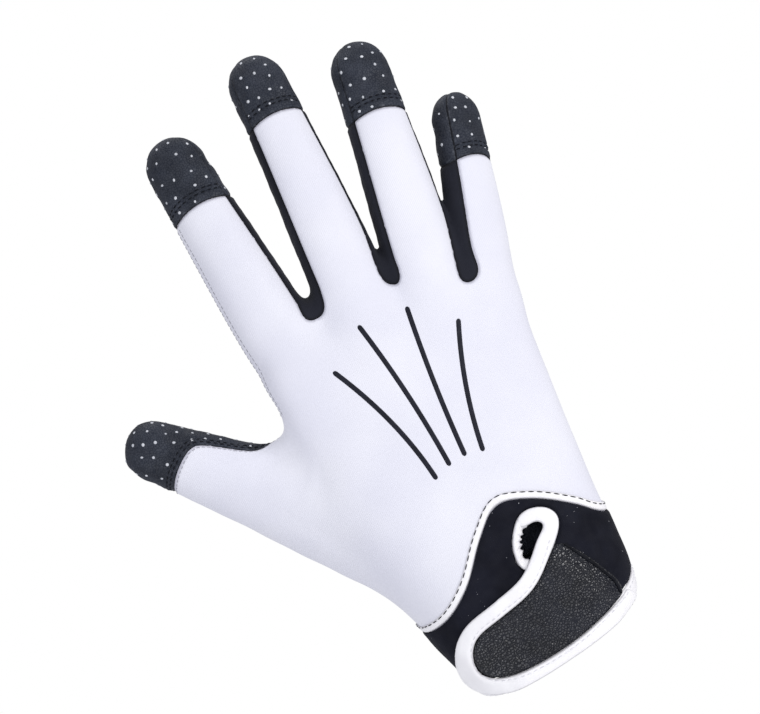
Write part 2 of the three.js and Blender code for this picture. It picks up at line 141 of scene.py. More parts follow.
def arc(share: Array, start: Array, bend: Array, end: Array) -> tuple[Array, Array]:
    """Places and speeds at shares of a curve from start to end that bends towards a third point."""
    places = (1 - share) ** 2 * start + 2 * share * (1 - share) * bend + share**2 * end
    return places, 2 * (1 - share) * (bend - start) + 2 * share * (end - bend)


class Profile:
    """Values that run smoothly through the rows of a table."""

    SAMPLES = 220

    def __init__(self, places: Sequence[float], values: Sequence[float]) -> None:
        """Draws the curve through the rows.

        Args:
            places: where each row lies, rising.
            values: the value at each row.
        """
        x, y = np.asarray(places, float), np.asarray(values, float)
        slopes = np.gradient(y, x)
        self.at = np.linspace(x[0], x[-1], self.SAMPLES)
        i = np.clip(np.searchsorted(x, self.at, side="right") - 1, 0, len(x) - 2)
        step = x[i + 1] - x[i]
        self.values = hermite((self.at - x[i]) / step, y[i], y[i + 1], step * slopes[i], step * slopes[i + 1])

    def __call__(self, place: Array) -> Array:
        """The value at each place."""
        return np.interp(place, self.at, self.values)


SIDES = ("left", "right", "back", "front")


@dataclass(frozen=True)
class Section:
    """One section of the wrist, the palm or the thumb's web, in shares or millimetres."""

    place: float
    left: float
    right: float
    back: float
    front: float
    roll: float = 0.0

    def sized(self, length: float, width: float, depth: float) -> "Section":
        """The same section in millimetres, from shares of three sizes."""
        across = (self.left * width, self.right * width)
        return Section(self.place * length, *across, self.back * depth, self.front * depth, self.roll)


@dataclass(frozen=True)
class DigitRow:
    """One section of a digit, in shares of its length, width and depth."""

    along: float
    width: float
    depth: float


@dataclass(frozen=True)
class DigitShape:
    """How one digit lies, its size, and the seams that divide it.

    x, y and z place its knuckle as shares of the palm. Leans and curls are degrees at the knuckle
    and at the tip. Roll turns its back to the little finger's side. Hem is how far its fingertip
    cap reaches from the tip, and the seams are degrees from its back.
    """

    x: float
    y: float
    z: float
    length: float
    lean: tuple[float, float]
    curl: tuple[float, float]
    roll: float
    width: float
    depth: float
    hem: float
    left_seam: float = SEAM_ANGLE
    right_seam: float = SEAM_ANGLE


WRIST_ROWS = (
    Section(-0.25, -0.385, 0.4, -0.48, 0.48),
    Section(-0.14, -0.385, 0.4, -0.48, 0.48),
    Section(0, -0.43, 0.45, -0.5, 0.5),
    Section(0.09, -0.48, 0.485, -0.51, 0.5),
    Section(0.18, -0.5, 0.5, -0.5, 0.48),
    Section(0.29, -0.51, 0.515, -0.46, 0.455, 2),
)
PALM_ROWS = (
    Section(0.43, -0.43, 0.435, -0.58, 0.58, 4),
    Section(0.57, -0.465, 0.46, -0.54, 0.52, 6),
    Section(0.7, -0.495, 0.485, -0.5, 0.47, 8),
    Section(0.8, -0.5, 0.5, -0.46, 0.44, 9),
    Section(0.88, -0.48, 0.46, -0.39, 0.38, 9),
    Section(0.935, -0.41, 0.36, -0.29, 0.29, 9),
)
THUMB_WEB_ROWS = (
    Section(0.3, -0.36, -0.1, -0.3, 0.5),
    Section(0.45, -0.5, -0.15, -0.32, 0.5),
    Section(0.58, -0.62, -0.22, -0.26, 0.44),
    Section(0.67, -0.66, -0.32, -0.18, 0.36),
    Section(0.695, -0.63, -0.38, -0.12, 0.3),
)
FINGER_ROWS = (
    DigitRow(-0.12, 0.78, 0.7),
    DigitRow(0, 0.92, 0.82),
    DigitRow(0.14, 1.06, 0.97),
    DigitRow(0.34, 1.07, 1.0),
    DigitRow(0.54, 1.0, 0.95),
    DigitRow(0.68, 0.94, 0.87),
    DigitRow(0.8, 0.89, 0.82),
    DigitRow(1, 0.83, 0.77),
)
THUMB_ROWS = (
    DigitRow(-0.1, 1.2, 1.1),
    DigitRow(0, 1.42, 1.35),
    DigitRow(0.2, 1.5, 1.42),
    DigitRow(0.42, 1.38, 1.26),
    DigitRow(0.6, 1.2, 1.1),
    DigitRow(0.73, 1.04, 1.0),
    DigitRow(0.85, 0.9, 0.9),
    DigitRow(1, 0.78, 0.84),
)
DIGITS = {
    "index": DigitShape(
        -0.355, -0.1, 0.781, 105, (-4, -3), (-3, 9), -2, FINGER_WIDTH * 1.02, FINGER_DEPTH, 28, 97
    ),
    "middle": DigitShape(
        -0.075, -0.13, 0.792, 116, (5.5, 1.5), (-2, 11), 12, FINGER_WIDTH, FINGER_DEPTH, 24.6
    ),
    "ring": DigitShape(0.175, -0.03, 0.76, 110, (11.5, 9), (-1, 12), 18, FINGER_WIDTH, FINGER_DEPTH, 28),
    "little": DigitShape(
        0.32, 0.13, 0.693, 91, (22, 15.5), (0, 12), 38, FINGER_WIDTH * 0.87, FINGER_DEPTH * 0.86, 25.2, 57, 62
    ),
    "thumb": DigitShape(-0.157, 0.12, 0.224, 130, (-38, -44), (6, -6), -22, 25, 22.5, 19),
}
# The thumb's seams: how far from the tip or the knuckle, and degrees from the thumb's back.
THUMB_RIGHT_SEAM = ((18.0, 60.0), (40.0, 76.0), (62.0, 93.0), (80.0, 108.0))
THUMB_LEFT_SEAM = ((0.0, 64.0), (15.0, 74.0), (35.0, 88.0), (55.0, 96.0))
FINGERS = ("index", "middle", "ring", "little")
GAPS = (("index", "middle"), ("middle", "ring"), ("ring", "little"))
# The lowest points of the back panel's edge between the fingers, in shares of the palm's width and length.
WEBS = ((-0.24, 0.951), (0.087, 0.937), (0.35, 0.853))

# The cuff's outlines over the back of the hand. x is a share of the wrist's width, z of the cuff's height.
CUFF_EDGE_BACK = (
    (-0.72, 0.47), (-0.43, 0.48), (-0.27, 0.61), (-0.095, 0.86), (0.055, 1), (0.23, 0.925),
    (0.4, 0.76), (0.5, 0.63), (0.72, 0.5),
)
CUFF_EDGE_PALM = ((-0.72, 0.47), (-0.43, 0.5), (0, 0.56), (0.5, 0.63), (0.72, 0.5))
STRAP_EDGE = (
    (0.212, 0.568), (0.13, 0.46), (0.02, 0.36), (-0.16, 0.3), (-0.3, 0.25), (-0.355, 0.14), (-0.34, 0.02),
    (-0.25, -0.045), (-0.1, -0.06), (0.12, -0.03), (0.39, 0.07),
)
STRAP_SEAM = ((0.385, 0.17), (0.33, 0.34), (0.26, 0.52))
SLIT_EDGE = (
    (0.22, 0.7), (0.17, 0.745), (0.11, 0.71), (0.07, 0.62), (0.065, 0.52), (0.13, 0.585), (0.19, 0.65),
)
SLIT_MIDDLE = (10.0, 35.0)  # across and up, in millimetres
GATHER_MIDDLE = (10.0, 0.0, 34.0)  # the place that the slit's gathers draw away from


@dataclass(frozen=True)
class Local:
    """Where points lie in a limb: to its right, out of its back, along it, and off its own skin."""

    across: Array
    outward: Array
    along: Array
    distance: Array

    def beyond_seam(self, left: float | Array, right: float | Array) -> Array:
        """How far points lie on the back's side of two seams at angles from the back, in degrees."""
        angle = np.radians(np.where(self.across < 0, left, right))
        return self.outward * np.sin(angle) - np.abs(self.across) * np.cos(angle)


class Limb:
    """A rounded tube of changing section, closed by domes."""

    low: Array
    high: Array
    rounding: float

    def measure(self, points: Array) -> Array:
        """Rows across, outward, along and distance, for points near the limb."""
        raise NotImplementedError

    def local(self, points: Array) -> Local:
        """Where points lie in the limb; those far from it are only given as beyond it."""
        near = np.all((points > self.low) & (points < self.high), axis=1)
        found = np.zeros((4, len(points)))
        found[3] = BEYOND
        if near.any():
            found[:, near] = self.measure(points[near])
        return Local(*found)

    def skin_distance(self, offsets: Array, halves: Array) -> Array:
        """Distance from a rounded box-like section.

        Args:
            offsets: rows of how far points lie across, outward and past the limb's ends.
            halves: rows of the limb's half width, half depth and dome height there.

        Returns:
            The distance to the limb's skin, negative inside.
        """
        n = self.rounding
        share = np.abs(offsets) / halves
        size = ((share**n).sum(axis=0) + 1e-12) ** (1 / n)
        slope = np.sqrt(((share ** (n - 1) / halves) ** 2).sum(axis=0)) / np.maximum(size, 0.05) ** (n - 1)
        depth = -np.minimum(halves[0], halves[1]) * (1 - size)
        return np.where(size < CORE, depth, (size - 1) / np.maximum(slope, 1e-4))


class Stack(Limb):
    """A limb of level sections, such as the palm."""

    def __init__(self, rows: Sequence[Section], rounding: float, domes: tuple[float, float]) -> None:
        """Draws the sections' sides.

        Args:
            rows: the sections in millimetres, from the lowest.
            rounding: exponent of the section's outline.
            domes: heights of the lower and the upper dome.
        """
        places = [row.place for row in rows]
        self.sides = [Profile(places, [getattr(row, side) for row in rows]) for side in SIDES]
        self.roll = Profile(places, [row.roll for row in rows])
        self.ends = (places[0], places[-1])
        self.domes = domes
        self.rounding = rounding
        left, right, back, front = (np.array([getattr(row, side) for row in rows]) for side in SIDES)
        self.low = np.array([left.min(), back.min(), places[0] - domes[0]]) - REACH - 4
        self.high = np.array([right.max(), front.max(), places[-1] + domes[1]]) + REACH + 4

    def measure(self, points: Array) -> Array:
        """Where points lie in the limb.

        Args:
            points: the points.

        Returns:
            Rows across, outward, along and distance.
        """
        height = np.clip(points[:, 2], *self.ends)
        left, right, back, front = (side(height) for side in self.sides)
        aside = points[:, 0] - (left + right) / 2
        inward = points[:, 1] - (back + front) / 2
        turn = np.radians(self.roll(height))
        across = aside * np.cos(turn) + inward * np.sin(turn)
        outward = aside * np.sin(turn) - inward * np.cos(turn)
        past = points[:, 2] - height
        dome = np.where(past > 0, self.domes[1], self.domes[0])
        halves = np.stack([(right - left) / 2, (front - back) / 2, dome])
        distance = self.skin_distance(np.stack([across, outward, past]), halves)
        return np.stack([across, outward, points[:, 2], distance])


class Digit(Limb):
    """A finger or the thumb, along a bent centre line."""

    STEPS = 48
    rounding = 2.2

    def __init__(self, shape: DigitShape, rows: Sequence[DigitRow]) -> None:
        """Works out the digit's frames along its centre line.

        Args:
            shape: how the digit lies, and its size.
            rows: its sections.
        """
        self.shape = shape
        self.knuckle = np.array([shape.x * PALM_WIDTH, shape.y * PALM_DEPTH, shape.z * PALM_LENGTH])
        self.joint = self.knuckle + self.heading(0) * shape.length / 2
        self.tip = self.joint + self.heading(1) * shape.length / 2
        self.dome = shape.width / 2
        self.start, self.end = rows[0].along, 1 - self.dome / shape.length
        shares = np.linspace(self.start, self.end, self.STEPS)
        places = [row.along for row in rows]
        width = Profile(places, [row.width for row in rows])(shares) * shape.width / 2
        depth = Profile(places, [row.depth for row in rows])(shares) * shape.depth / 2
        centres, ways = self.centre_line(shares)
        right = unit(np.cross(ways, [0.0, -1.0, 0.0]))
        back = np.cross(right, ways)
        cosine, sine = math.cos(math.radians(shape.roll)), math.sin(math.radians(shape.roll))
        right, back = (side * cosine + np.cross(ways, side) * sine for side in (right, back))
        self.frames = np.concatenate([centres, right, back, ways, width[:, None], depth[:, None]], axis=1)
        margin = REACH + width.max()
        self.low = np.minimum(centres.min(axis=0), self.tip) - margin
        self.high = np.maximum(centres.max(axis=0), self.tip) + margin

    def heading(self, end: int) -> Array:
        """The way that the digit runs at its knuckle, 0, or its tip, 1."""
        across, inward = math.radians(self.shape.lean[end]), math.radians(self.shape.curl[end])
        return np.array([
            math.sin(across) * math.cos(inward), math.sin(inward), math.cos(across) * math.cos(inward)
        ])

    def centre_line(self, shares: Array) -> tuple[Array, Array]:
        """Points and headings of the centre line at shares of the digit's length."""
        points, speed = arc(np.maximum(shares, 0.0)[:, None], self.knuckle, self.joint, self.tip)
        return points + speed * np.minimum(shares, 0.0)[:, None], unit(speed)

    def nearest_share(self, points: Array) -> Array:
        """Finds where the centre line passes points.

        Args:
            points: the points.

        Returns:
            The share of the digit's length for each point.
        """
        chord = self.tip - self.knuckle
        share = (points - self.knuckle) @ chord / (chord @ chord)
        bend = 2 * (self.knuckle - 2 * self.joint + self.tip)
        for _ in range(2):
            on = np.clip(share, 0.0, self.end)[:, None]
            place, speed = arc(on, self.knuckle, self.joint, self.tip)
            miss = place - points
            slope = np.maximum((speed**2).sum(axis=1) + miss @ bend, 100.0)
            share = on[:, 0] - (miss * speed).sum(axis=1) / slope
        return np.clip(share, self.start, self.end)

    def frame_at(self, shares: Array) -> Array:
        """The frames at shares of the length: centre, right, back, way, half width and half depth."""
        place = (shares - self.start) / (self.end - self.start) * (self.STEPS - 1)
        i = np.clip(place.astype(int), 0, self.STEPS - 2)
        part = (place - i)[:, None]
        return self.frames[i] * (1 - part) + self.frames[i + 1] * part

    def measure(self, points: Array) -> Array:
        """Where points lie in the limb.

        Args:
            points: the points.

        Returns:
            Rows across, outward, along and distance.
        """
        share = self.nearest_share(points)
        found = self.frame_at(share)
        offset = points - found[:, 0:3]
        across = (offset * found[:, 3:6]).sum(axis=1)
        outward = (offset * found[:, 6:9]).sum(axis=1)
        onward = (offset * found[:, 9:12]).sum(axis=1)
        at_tip = share > self.end - 1e-6
        past = np.where(at_tip, np.maximum(onward, 0.0), 0.0)
        before = np.where(share < self.start + 1e-6, np.minimum(onward, 0.0), 0.0)
        halves = np.stack([found[:, 12], found[:, 13], np.where(at_tip, self.dome, found[:, 13])])
        distance = self.skin_distance(np.stack([across, outward, past + before]), halves)
        return np.stack([across, outward, share * self.shape.length + past + before, distance])

    def ray(self, along: float, angle: float) -> tuple[Array, Array]:
        """A line of sight to the digit's skin from outside.

        Args:
            along: distance from the knuckle, measured over the dome past its foot.
            angle: degrees from the digit's back to its right.

        Returns:
            A point outside the skin and the way to look.
        """
        foot = self.end * self.shape.length
        found = self.frame_at(np.array([min(along, foot) / self.shape.length]))[0]
        aside = found[3:6] * math.sin(math.radians(angle)) + found[6:9] * math.cos(math.radians(angle))
        climb = max(along - foot, 0.0) / self.dome
        way = aside * math.cos(climb) + found[9:12] * math.sin(climb)
        return found[0:3] + way * SIGHT, -way


@dataclass
class HandForm:
    """The hand that the glove is cut for: its limbs, blended where they join."""

    between_fingers: float = 3.0
    finger_roots: float = 6.0
    thumb_root: float = 14.0
    thumb_web: float = 8.0
    low: tuple[float, float, float] = (-118.0, -32.0, -30.0)
    high: tuple[float, float, float] = (76.0, 36.0, 240.0)
    palm: Stack = field(init=False)
    web: Stack = field(init=False)
    digits: dict[str, Digit] = field(init=False)

    def __post_init__(self) -> None:
        """Makes the limbs from their tables."""
        wrist = [row.sized(PALM_LENGTH, WRIST_WIDTH, WRIST_DEPTH) for row in WRIST_ROWS]
        palm = [row.sized(PALM_LENGTH, PALM_WIDTH, PALM_DEPTH) for row in PALM_ROWS]
        web = [row.sized(PALM_LENGTH, PALM_WIDTH, PALM_DEPTH) for row in THUMB_WEB_ROWS]
        self.palm = Stack(wrist + palm, 2.5, (30.0, 9.5))
        self.web = Stack(web, 2.25, (12.0, 3.5))
        self.digits = {name: Digit(DIGITS[name], FINGER_ROWS) for name in FINGERS}
        self.digits["thumb"] = Digit(DIGITS["thumb"], THUMB_ROWS)

    def distance(self, points: Array) -> Array:
        """Distance of points from the hand's skin.

        Args:
            points: the points.

        Returns:
            Their distances, negative inside.
        """
        fingers = self.digits["index"].local(points).distance
        for name in FINGERS[1:]:
            fingers = soft_min(fingers, self.digits[name].local(points).distance, self.between_fingers)
        hand = soft_min(fingers, self.palm.local(points).distance, self.finger_roots)
        thumb = soft_min(
            self.digits["thumb"].local(points).distance, self.web.local(points).distance, self.thumb_web
        )
        return soft_min(hand, thumb, self.thumb_root)

    def slope(self, points: Array) -> tuple[Array, Array]:
        """The distance and its gradient at points, from four places round each.

        Args:
            points: places, a row each.

        Returns:
            The distances and the gradients.
        """
        step = 0.2
        corners = np.array([[1, -1, -1], [-1, -1, 1], [-1, 1, -1], [1, 1, 1]], float)
        found = [self.distance(points + step * corner) for corner in corners]
        gradient = sum(value[:, None] * corner for value, corner in zip(found, corners)) / (4 * step)
        return sum(found) / 4, gradient

    def settle(self, points: Array, level: float | Array = 0.0, rounds: int = 2) -> tuple[Array, Array]:
        """Moves points onto a layer at a distance from the skin.

        Args:
            points: places near the skin.
            level: the layer's distance out of the skin.
            rounds: how many steps the move takes.

        Returns:
            The moved points and the outward normals there.
        """
        normals = np.zeros_like(points)
        for _ in range(rounds):
            found, gradient = self.slope(points)
            size = np.maximum((gradient**2).sum(axis=1), 0.1)
            move = np.clip((found - level) / size, -4.0, 4.0)
            points = points - gradient * move[:, None]
            normals = unit(gradient)
        return points, normals

    def skin(self, cell: float, top: float | None = None) -> tuple[Array, Array]:
        """The skin as even quads.

        Args:
            cell: width of a quad.
            top: the height at which it may stop, or None for the whole.

        Returns:
            Its points and its quads.
        """
        low, high = np.array(self.low), np.array(self.high)
        high[2] = top or high[2]
        counts = np.ceil((high - low) / cell).astype(int) + 1
        grid = np.stack(np.meshgrid(*map(np.arange, counts), indexing="ij"), axis=-1)
        values = self.distance((low + cell * grid).reshape(-1, 3)).reshape(counts)
        points, quads = wrapped(values, low, cell)
        edges = np.concatenate([quads[:, [i, (i + 1) % 4]] for i in range(4)])
        for _ in range(3):
            points, _ = self.settle(evened(points, edges, 0.5), rounds=1)
        return self.settle(points)[0], quads


def wrapped(values: Array, low: Array, cell: float) -> tuple[Array, Array]:
    """A skin round the negative part of a grid of distances.

    Args:
        values: the distance at each place of the grid.
        low: the grid's first place.
        cell: its pitch.

    Returns:
        The skin's points, one in each cell that it crosses, and its quads, facing out.
    """
    shape = np.array(values.shape) - 1
    total, count = np.zeros((*shape, 3)), np.zeros(shape)

    def corner(at: Sequence[int]) -> Array:
        """The grid seen from one corner of its cells."""
        return values[at[0]:at[0] + shape[0], at[1]:at[1] + shape[1], at[2]:at[2] + shape[2]]

    for axis in range(3):
        aside = [other for other in range(3) if other != axis]
        for one in (0, 1):
            for other in (0, 1):
                at = [0, 0, 0]
                at[aside[0]], at[aside[1]] = one, other
                near = corner(at)
                at[axis] = 1
                far = corner(at)
                crossed = (near < 0) != (far < 0)
                share = np.where(crossed, near / np.where(near == far, 1.0, near - far), 0.0)
                count += crossed
                total[..., axis] += share
                total[..., aside[0]] += crossed * one
                total[..., aside[1]] += crossed * other
    used = count > 0
    index = -np.ones(tuple(shape), int)
    index[used] = np.arange(used.sum())
    points = low + cell * (np.argwhere(used) + total[used] / count[used][:, None])
    quads = []
    for axis in range(3):
        aside = [other for other in range(3) if other != axis]
        near = values[tuple(slice(0, -1) if i == axis else slice(None) for i in range(3))]
        far = values[tuple(slice(1, None) if i == axis else slice(None) for i in range(3))]
        crossed = np.argwhere((near < 0) != (far < 0))
        inner = np.all([(crossed[:, i] > 0) & (crossed[:, i] < values.shape[i] - 1) for i in aside], axis=0)
        crossed = crossed[inner]
        steps = [np.eye(3, dtype=int)[i] for i in aside]
        corners = (steps[0] + steps[1], steps[1], 0 * steps[0], steps[0])
        ring = np.stack([index[tuple((crossed - step).T)] for step in corners], axis=1)
        inside = near[tuple(crossed.T)] < 0
        backward = ~inside if axis != 1 else inside
        ring[backward] = ring[backward][:, ::-1]
        quads.append(ring)
    return points, np.concatenate(quads)


def evened(points: Array, edges: Array, share: float) -> Array:
    """Points moved a share of the way to the mean of those that edges join them to."""
    total, count = np.zeros_like(points), np.zeros(len(points))
    for one, other in ((0, 1), (1, 0)):
        np.add.at(total, edges[:, one], points[edges[:, other]])
        np.add.at(count, edges[:, one], 1)
    mean = total / np.maximum(count, 1)[:, None]
    return np.where(count[:, None] > 0, points + share * (mean - points), points)


def used_only(points: Array, faces: Array) -> tuple[Array, Array]:
    """Leaves out the points that no face uses.

    Args:
        points: the points.
        faces: a row of points for each face, where -1 stands for none.

    Returns:
        The points that are left and the faces, numbered for them.
    """
    used = np.unique(faces[faces >= 0])
    renumber = np.full(len(points) + 1, -1)
    renumber[used] = np.arange(len(used))
    return points[used], renumber[faces]


def distance_to(places: Array, points: Array) -> Array:
    """How far points lie from the nearest of some places.

    Args:
        places: the places.
        points: the points.

    Returns:
        A distance for each point.
    """
    tree = KDTree(len(places))
    for i, place in enumerate(places):
        tree.insert(place, i)
    tree.balance()
    return np.array([tree.find(point)[2] for point in points])


def spline(table: Sequence[tuple[float, float]], closed: bool, steps: int = 6) -> Array:
    """A smooth line through the points of a table, as the frame's outlines are drawn.

    Args:
        table: the points.
        closed: whether the line comes back to its start.
        steps: pieces between two points.

    Returns:
        The line's points.
    """
    points = np.asarray(table, float)
    if closed:
        points = np.concatenate([points[-1:], points, points[:2]])
    else:
        points = np.concatenate([[2 * points[0] - points[1]], points, [2 * points[-1] - points[-2]]])
    line = []
    for before, start, end, after in zip(points, points[1:], points[2:], points[3:]):
        steps_between = ((before, start), (start, end), (end, after))
        gaps = [max(np.linalg.norm(b - a) ** 0.5, 1e-6) for a, b in steps_between]
        leave = (start - before) / gaps[0] - (end - before) / (gaps[0] + gaps[1]) + (end - start) / gaps[1]
        reach = (end - start) / gaps[1] - (after - start) / (gaps[1] + gaps[2]) + (after - end) / gaps[2]
        line += [hermite(t, start, end, leave * gaps[1], reach * gaps[1]) for t in np.arange(steps) / steps]
    return np.array(line if closed else [*line, points[-2]])


def cuff_line(table: Sequence[tuple[float, float]], closed: bool = False) -> Array:
    """An outline of the cuff in millimetres, from shares of its sizes."""
    return spline([(x * WRIST_WIDTH, z * CUFF_HEIGHT) for x, z in table], closed)


def outline_distance(places: Array, line: Array) -> Array:
    """Distance of places in a plane from a closed outline, negative inside.

    Args:
        places: the places, two columns.
        line: the outline's points.

    Returns:
        The distances.
    """
    nearest = np.full(len(places), np.inf)
    inside = np.zeros(len(places), bool)
    for start, end in zip(line, np.roll(line, -1, axis=0)):
        run = end - start
        share = np.clip((places - start) @ run / max(run @ run, 1e-9), 0, 1)
        nearest = np.minimum(nearest, np.linalg.norm(places - start - share[:, None] * run, axis=1))
        crosses = (start[1] > places[:, 1]) != (end[1] > places[:, 1])
        rise = run[1] if abs(run[1]) > 1e-9 else 1e-9
        inside ^= crosses & (places[:, 0] < start[0] + (places[:, 1] - start[1]) * run[0] / rise)
    return np.where(inside, -nearest, nearest)


# The fan on the back of the hand: start, bend and end of each line, across and up the hand in millimetres.
FAN = tuple(
    tuple(np.array(point) for point in line)
    for line in (
        ((-9.5, 68.0), (-11.5, 92.0), (-23.5, 117.0)),
        ((-3.3, 70.0), (-3.6, 98.0), (-8.5, 127.0)),
        ((2.9, 70.5), (4.6, 98.0), (9.2, 125.0)),
        ((9.1, 69.0), (12.5, 91.0), (23.0, 113.0)),
    )
)


class Patchwork:
    """A skin with named fields over it, divided along the lines where fields are zero."""

    SNAP = 0.28  # share of an edge within which a point is moved onto the line

    def __init__(self, points: Array, faces: Array, fields: dict[str, Array]) -> None:
        """Takes the skin.

        Args:
            points: its points.
            faces: its quads.
            fields: a value at each point under each name.
        """
        self.points = points.copy()
        self.faces = np.full((len(faces), 9), -1)
        self.faces[:, :4] = faces
        self.names = list(fields)
        self.values = np.stack([fields[name] for name in self.names], axis=1)
        self.locked = np.zeros(len(points), bool)

    def edges(self) -> Array:
        """Every edge once in each way, with its face: start, end, face."""
        rows = []
        for i in range(self.faces.shape[1]):
            following = self.faces[:, i + 1] if i + 1 < self.faces.shape[1] else np.full(len(self.faces), -1)
            ends = np.where(following >= 0, following, self.faces[:, 0])
            keep = self.faces[:, i] >= 0
            rows.append(np.stack([self.faces[keep, i], ends[keep], np.flatnonzero(keep)], axis=1))
        return np.concatenate(rows)

    def snap(self, column: int) -> None:
        """Moves the free points that lie close to a field's zero line onto it.

        Args:
            column: the field's number.
        """
        edges = self.edges()
        value = self.values[:, column]
        start, end = edges[:, 0], edges[:, 1]
        crossing = value[start] * value[end] < 0
        start, end = start[crossing], end[crossing]
        share = value[start] / (value[start] - value[end])
        close = share < self.SNAP
        start, end, share = start[close], end[close], share[close]
        move = share * np.linalg.norm(self.points[end] - self.points[start], axis=1)
        order = np.argsort(-move, kind="stable")
        chosen = dict(zip(start[order].tolist(), order.tolist()))
        for point, i in chosen.items():
            if self.locked[point]:
                if share[i] < 0.06:
                    self.values[point, column] = 0.0
                continue
            other = end[i]
            self.points[point] += share[i] * (self.points[other] - self.points[point])
            self.values[point] += share[i] * (self.values[other] - self.values[point])
            self.values[point, column] = 0.0
            self.locked[point] = True

    def split(self, name: str) -> None:
        """Divides the faces along a field's zero line.

        Args:
            name: the field's name.
        """
        column = self.names.index(name)
        self.snap(column)
        value = self.values[:, column]
        corners = np.where(self.faces >= 0, value[self.faces], np.nan)
        crossing = (np.nanmin(corners, axis=1) < 0) & (np.nanmax(corners, axis=1) > 0)
        cuts: dict[tuple[int, int], int] = {}
        added_points, added_values, added_faces = [], [], []
        for face in np.flatnonzero(crossing):
            ring = [int(point) for point in self.faces[face] if point >= 0]
            walked = []
            for one, other in zip(ring, ring[1:] + ring[:1]):
                walked.append((one, value[one]))
                if value[one] * value[other] < 0:
                    key = (min(one, other), max(one, other))
                    if key not in cuts:
                        share = value[key[0]] / (value[key[0]] - value[key[1]])
                        cuts[key] = len(self.points) + len(added_points)
                        added_points.append(self.points[key[0]] * (1 - share) + self.points[key[1]] * share)
                        mixed = self.values[key[0]] * (1 - share) + self.values[key[1]] * share
                        mixed[column] = 0.0
                        added_values.append(mixed)
                    walked.append((cuts[key], 0.0))
            for side in (1, -1):
                half = [point for point, height in walked if height * side >= 0]
                if len(half) >= 3:
                    added_faces.append(half + [-1] * (9 - len(half)))
        kept = self.faces[~crossing]
        if added_faces:
            kept = np.concatenate([kept, np.array([row[:9] for row in added_faces])])
        self.faces = kept
        if added_points:
            self.points = np.concatenate([self.points, added_points])
            self.values = np.concatenate([self.values, added_values])
            self.locked = np.concatenate([self.locked, np.ones(len(added_points), bool)])

    def of_faces(self) -> dict[str, Array]:
        """The mean of each field over each face."""
        used = self.faces >= 0
        total = np.where(used[..., None], self.values[self.faces], 0.0).sum(axis=1)
        mean = total / used.sum(axis=1)[:, None]
        return {name: mean[:, i] for i, name in enumerate(self.names)}

    def smooth_seams(self, labels: Array, form: HandForm, rounds: int = 3) -> None:
        """Smooths the lines between labels and evens the cells beside them.

        Args:
            labels: the piece that each face belongs to.
            form: the form that the skin stays on.
            rounds: how often the points are moved.
        """
        edges = self.edges()
        pairs = np.sort(edges[:, :2], axis=1)
        _, first, inverse, uses = np.unique(
            pairs, axis=0, return_index=True, return_inverse=True, return_counts=True
        )
        inverse = inverse.ravel()
        low = np.full(len(first), 10**6)
        high = np.full(len(first), -(10**6))
        np.minimum.at(low, inverse, labels[edges[:, 2]])
        np.maximum.at(high, inverse, labels[edges[:, 2]])
        seam = (low != high) | (uses == 1)
        inner_pairs, seam_pairs = pairs[first][~seam], pairs[first][seam]
        on_seam = np.bincount(seam_pairs.ravel(), minlength=len(self.points))
        if labels.max() == 1:
            on_seam = np.minimum(on_seam, 2)
        for _ in range(rounds):
            along = evened(self.points, seam_pairs, 0.5)
            beside = evened(self.points, np.concatenate([inner_pairs, seam_pairs]), 0.35)
            moved = np.where((on_seam == 2)[:, None], along, self.points)
            moved = np.where((on_seam == 0)[:, None], beside, moved)
            self.points, _ = form.settle(moved, rounds=1)

    def piece(self, chosen: Array) -> tuple[Array, list[list[int]]]:
        """The points and faces of some of the faces, chosen by a mask."""
        points, rows = used_only(self.points, self.faces[chosen])
        return points, [[int(point) for point in row if point >= 0] for row in rows]


def largest(points: Array, faces: list[list[int]]) -> tuple[Array, list[list[int]]]:
    """The largest connected part of a mesh.

    Args:
        points: its points.
        faces: its faces.

    Returns:
        The points and faces of that part.
    """
    parent = list(range(len(points)))

    def root(item: int) -> int:
        """The point that stands for an item's part."""
        while parent[item] != item:
            parent[item] = parent[parent[item]]
            item = parent[item]
        return item

    for face in faces:
        first = root(face[0])
        for point in face[1:]:
            parent[root(point)] = first
    roots = np.array([root(i) for i in range(len(points))])
    main = np.bincount(roots[[face[0] for face in faces]]).argmax()
    keep = [face for face in faces if roots[face[0]] == main]
    used = np.unique([point for face in keep for point in face])
    renumber = {int(point): i for i, point in enumerate(used)}
    return points[used], [[renumber[point] for point in face] for face in keep]


def select_only(piece: Piece) -> None:
    """Makes a piece the only selected and the active object."""
    bpy.ops.object.select_all(action="DESELECT")
    piece.select_set(True)
    bpy.context.view_layer.objects.active = piece


def mesh_object(name: str, points: Array, faces: Sequence[Sequence[int]]) -> Piece:
    """A new mesh object from points in millimetres.

    Args:
        name: the object's name.
        points: its points.
        faces: its faces.

    Returns:
        The object, at the origin.
    """
    data = bpy.data.meshes.new(name)
    data.from_pydata((np.asarray(points) * MM).tolist(), [], [list(map(int, face)) for face in faces])
    data.validate()
    data.update()
    made = bpy.data.objects.new(name, data)
    bpy.context.collection.objects.link(made)
    return made


def read_points(piece: Piece) -> Array:
    """A piece's points in millimetres."""
    found = np.empty(len(piece.data.vertices) * 3, np.float32)
    piece.data.vertices.foreach_get("co", found)
    return found.reshape(-1, 3).astype(float) / MM


def write_points(piece: Piece, points: Array) -> None:
    """Gives a piece's points new places, in millimetres."""
    piece.data.vertices.foreach_set("co", (points * MM).astype(np.float32).ravel())
    piece.data.update()


def apply_modifier(piece: Piece, kind: str, **settings: object) -> None:
    """Adds a modifier with its settings to a piece and applies it."""
    select_only(piece)
    modifier = piece.modifiers.new(kind.title(), kind)
    for name, value in settings.items():
        setattr(modifier, name, value)
    bpy.ops.object.modifier_apply(modifier=modifier.name)


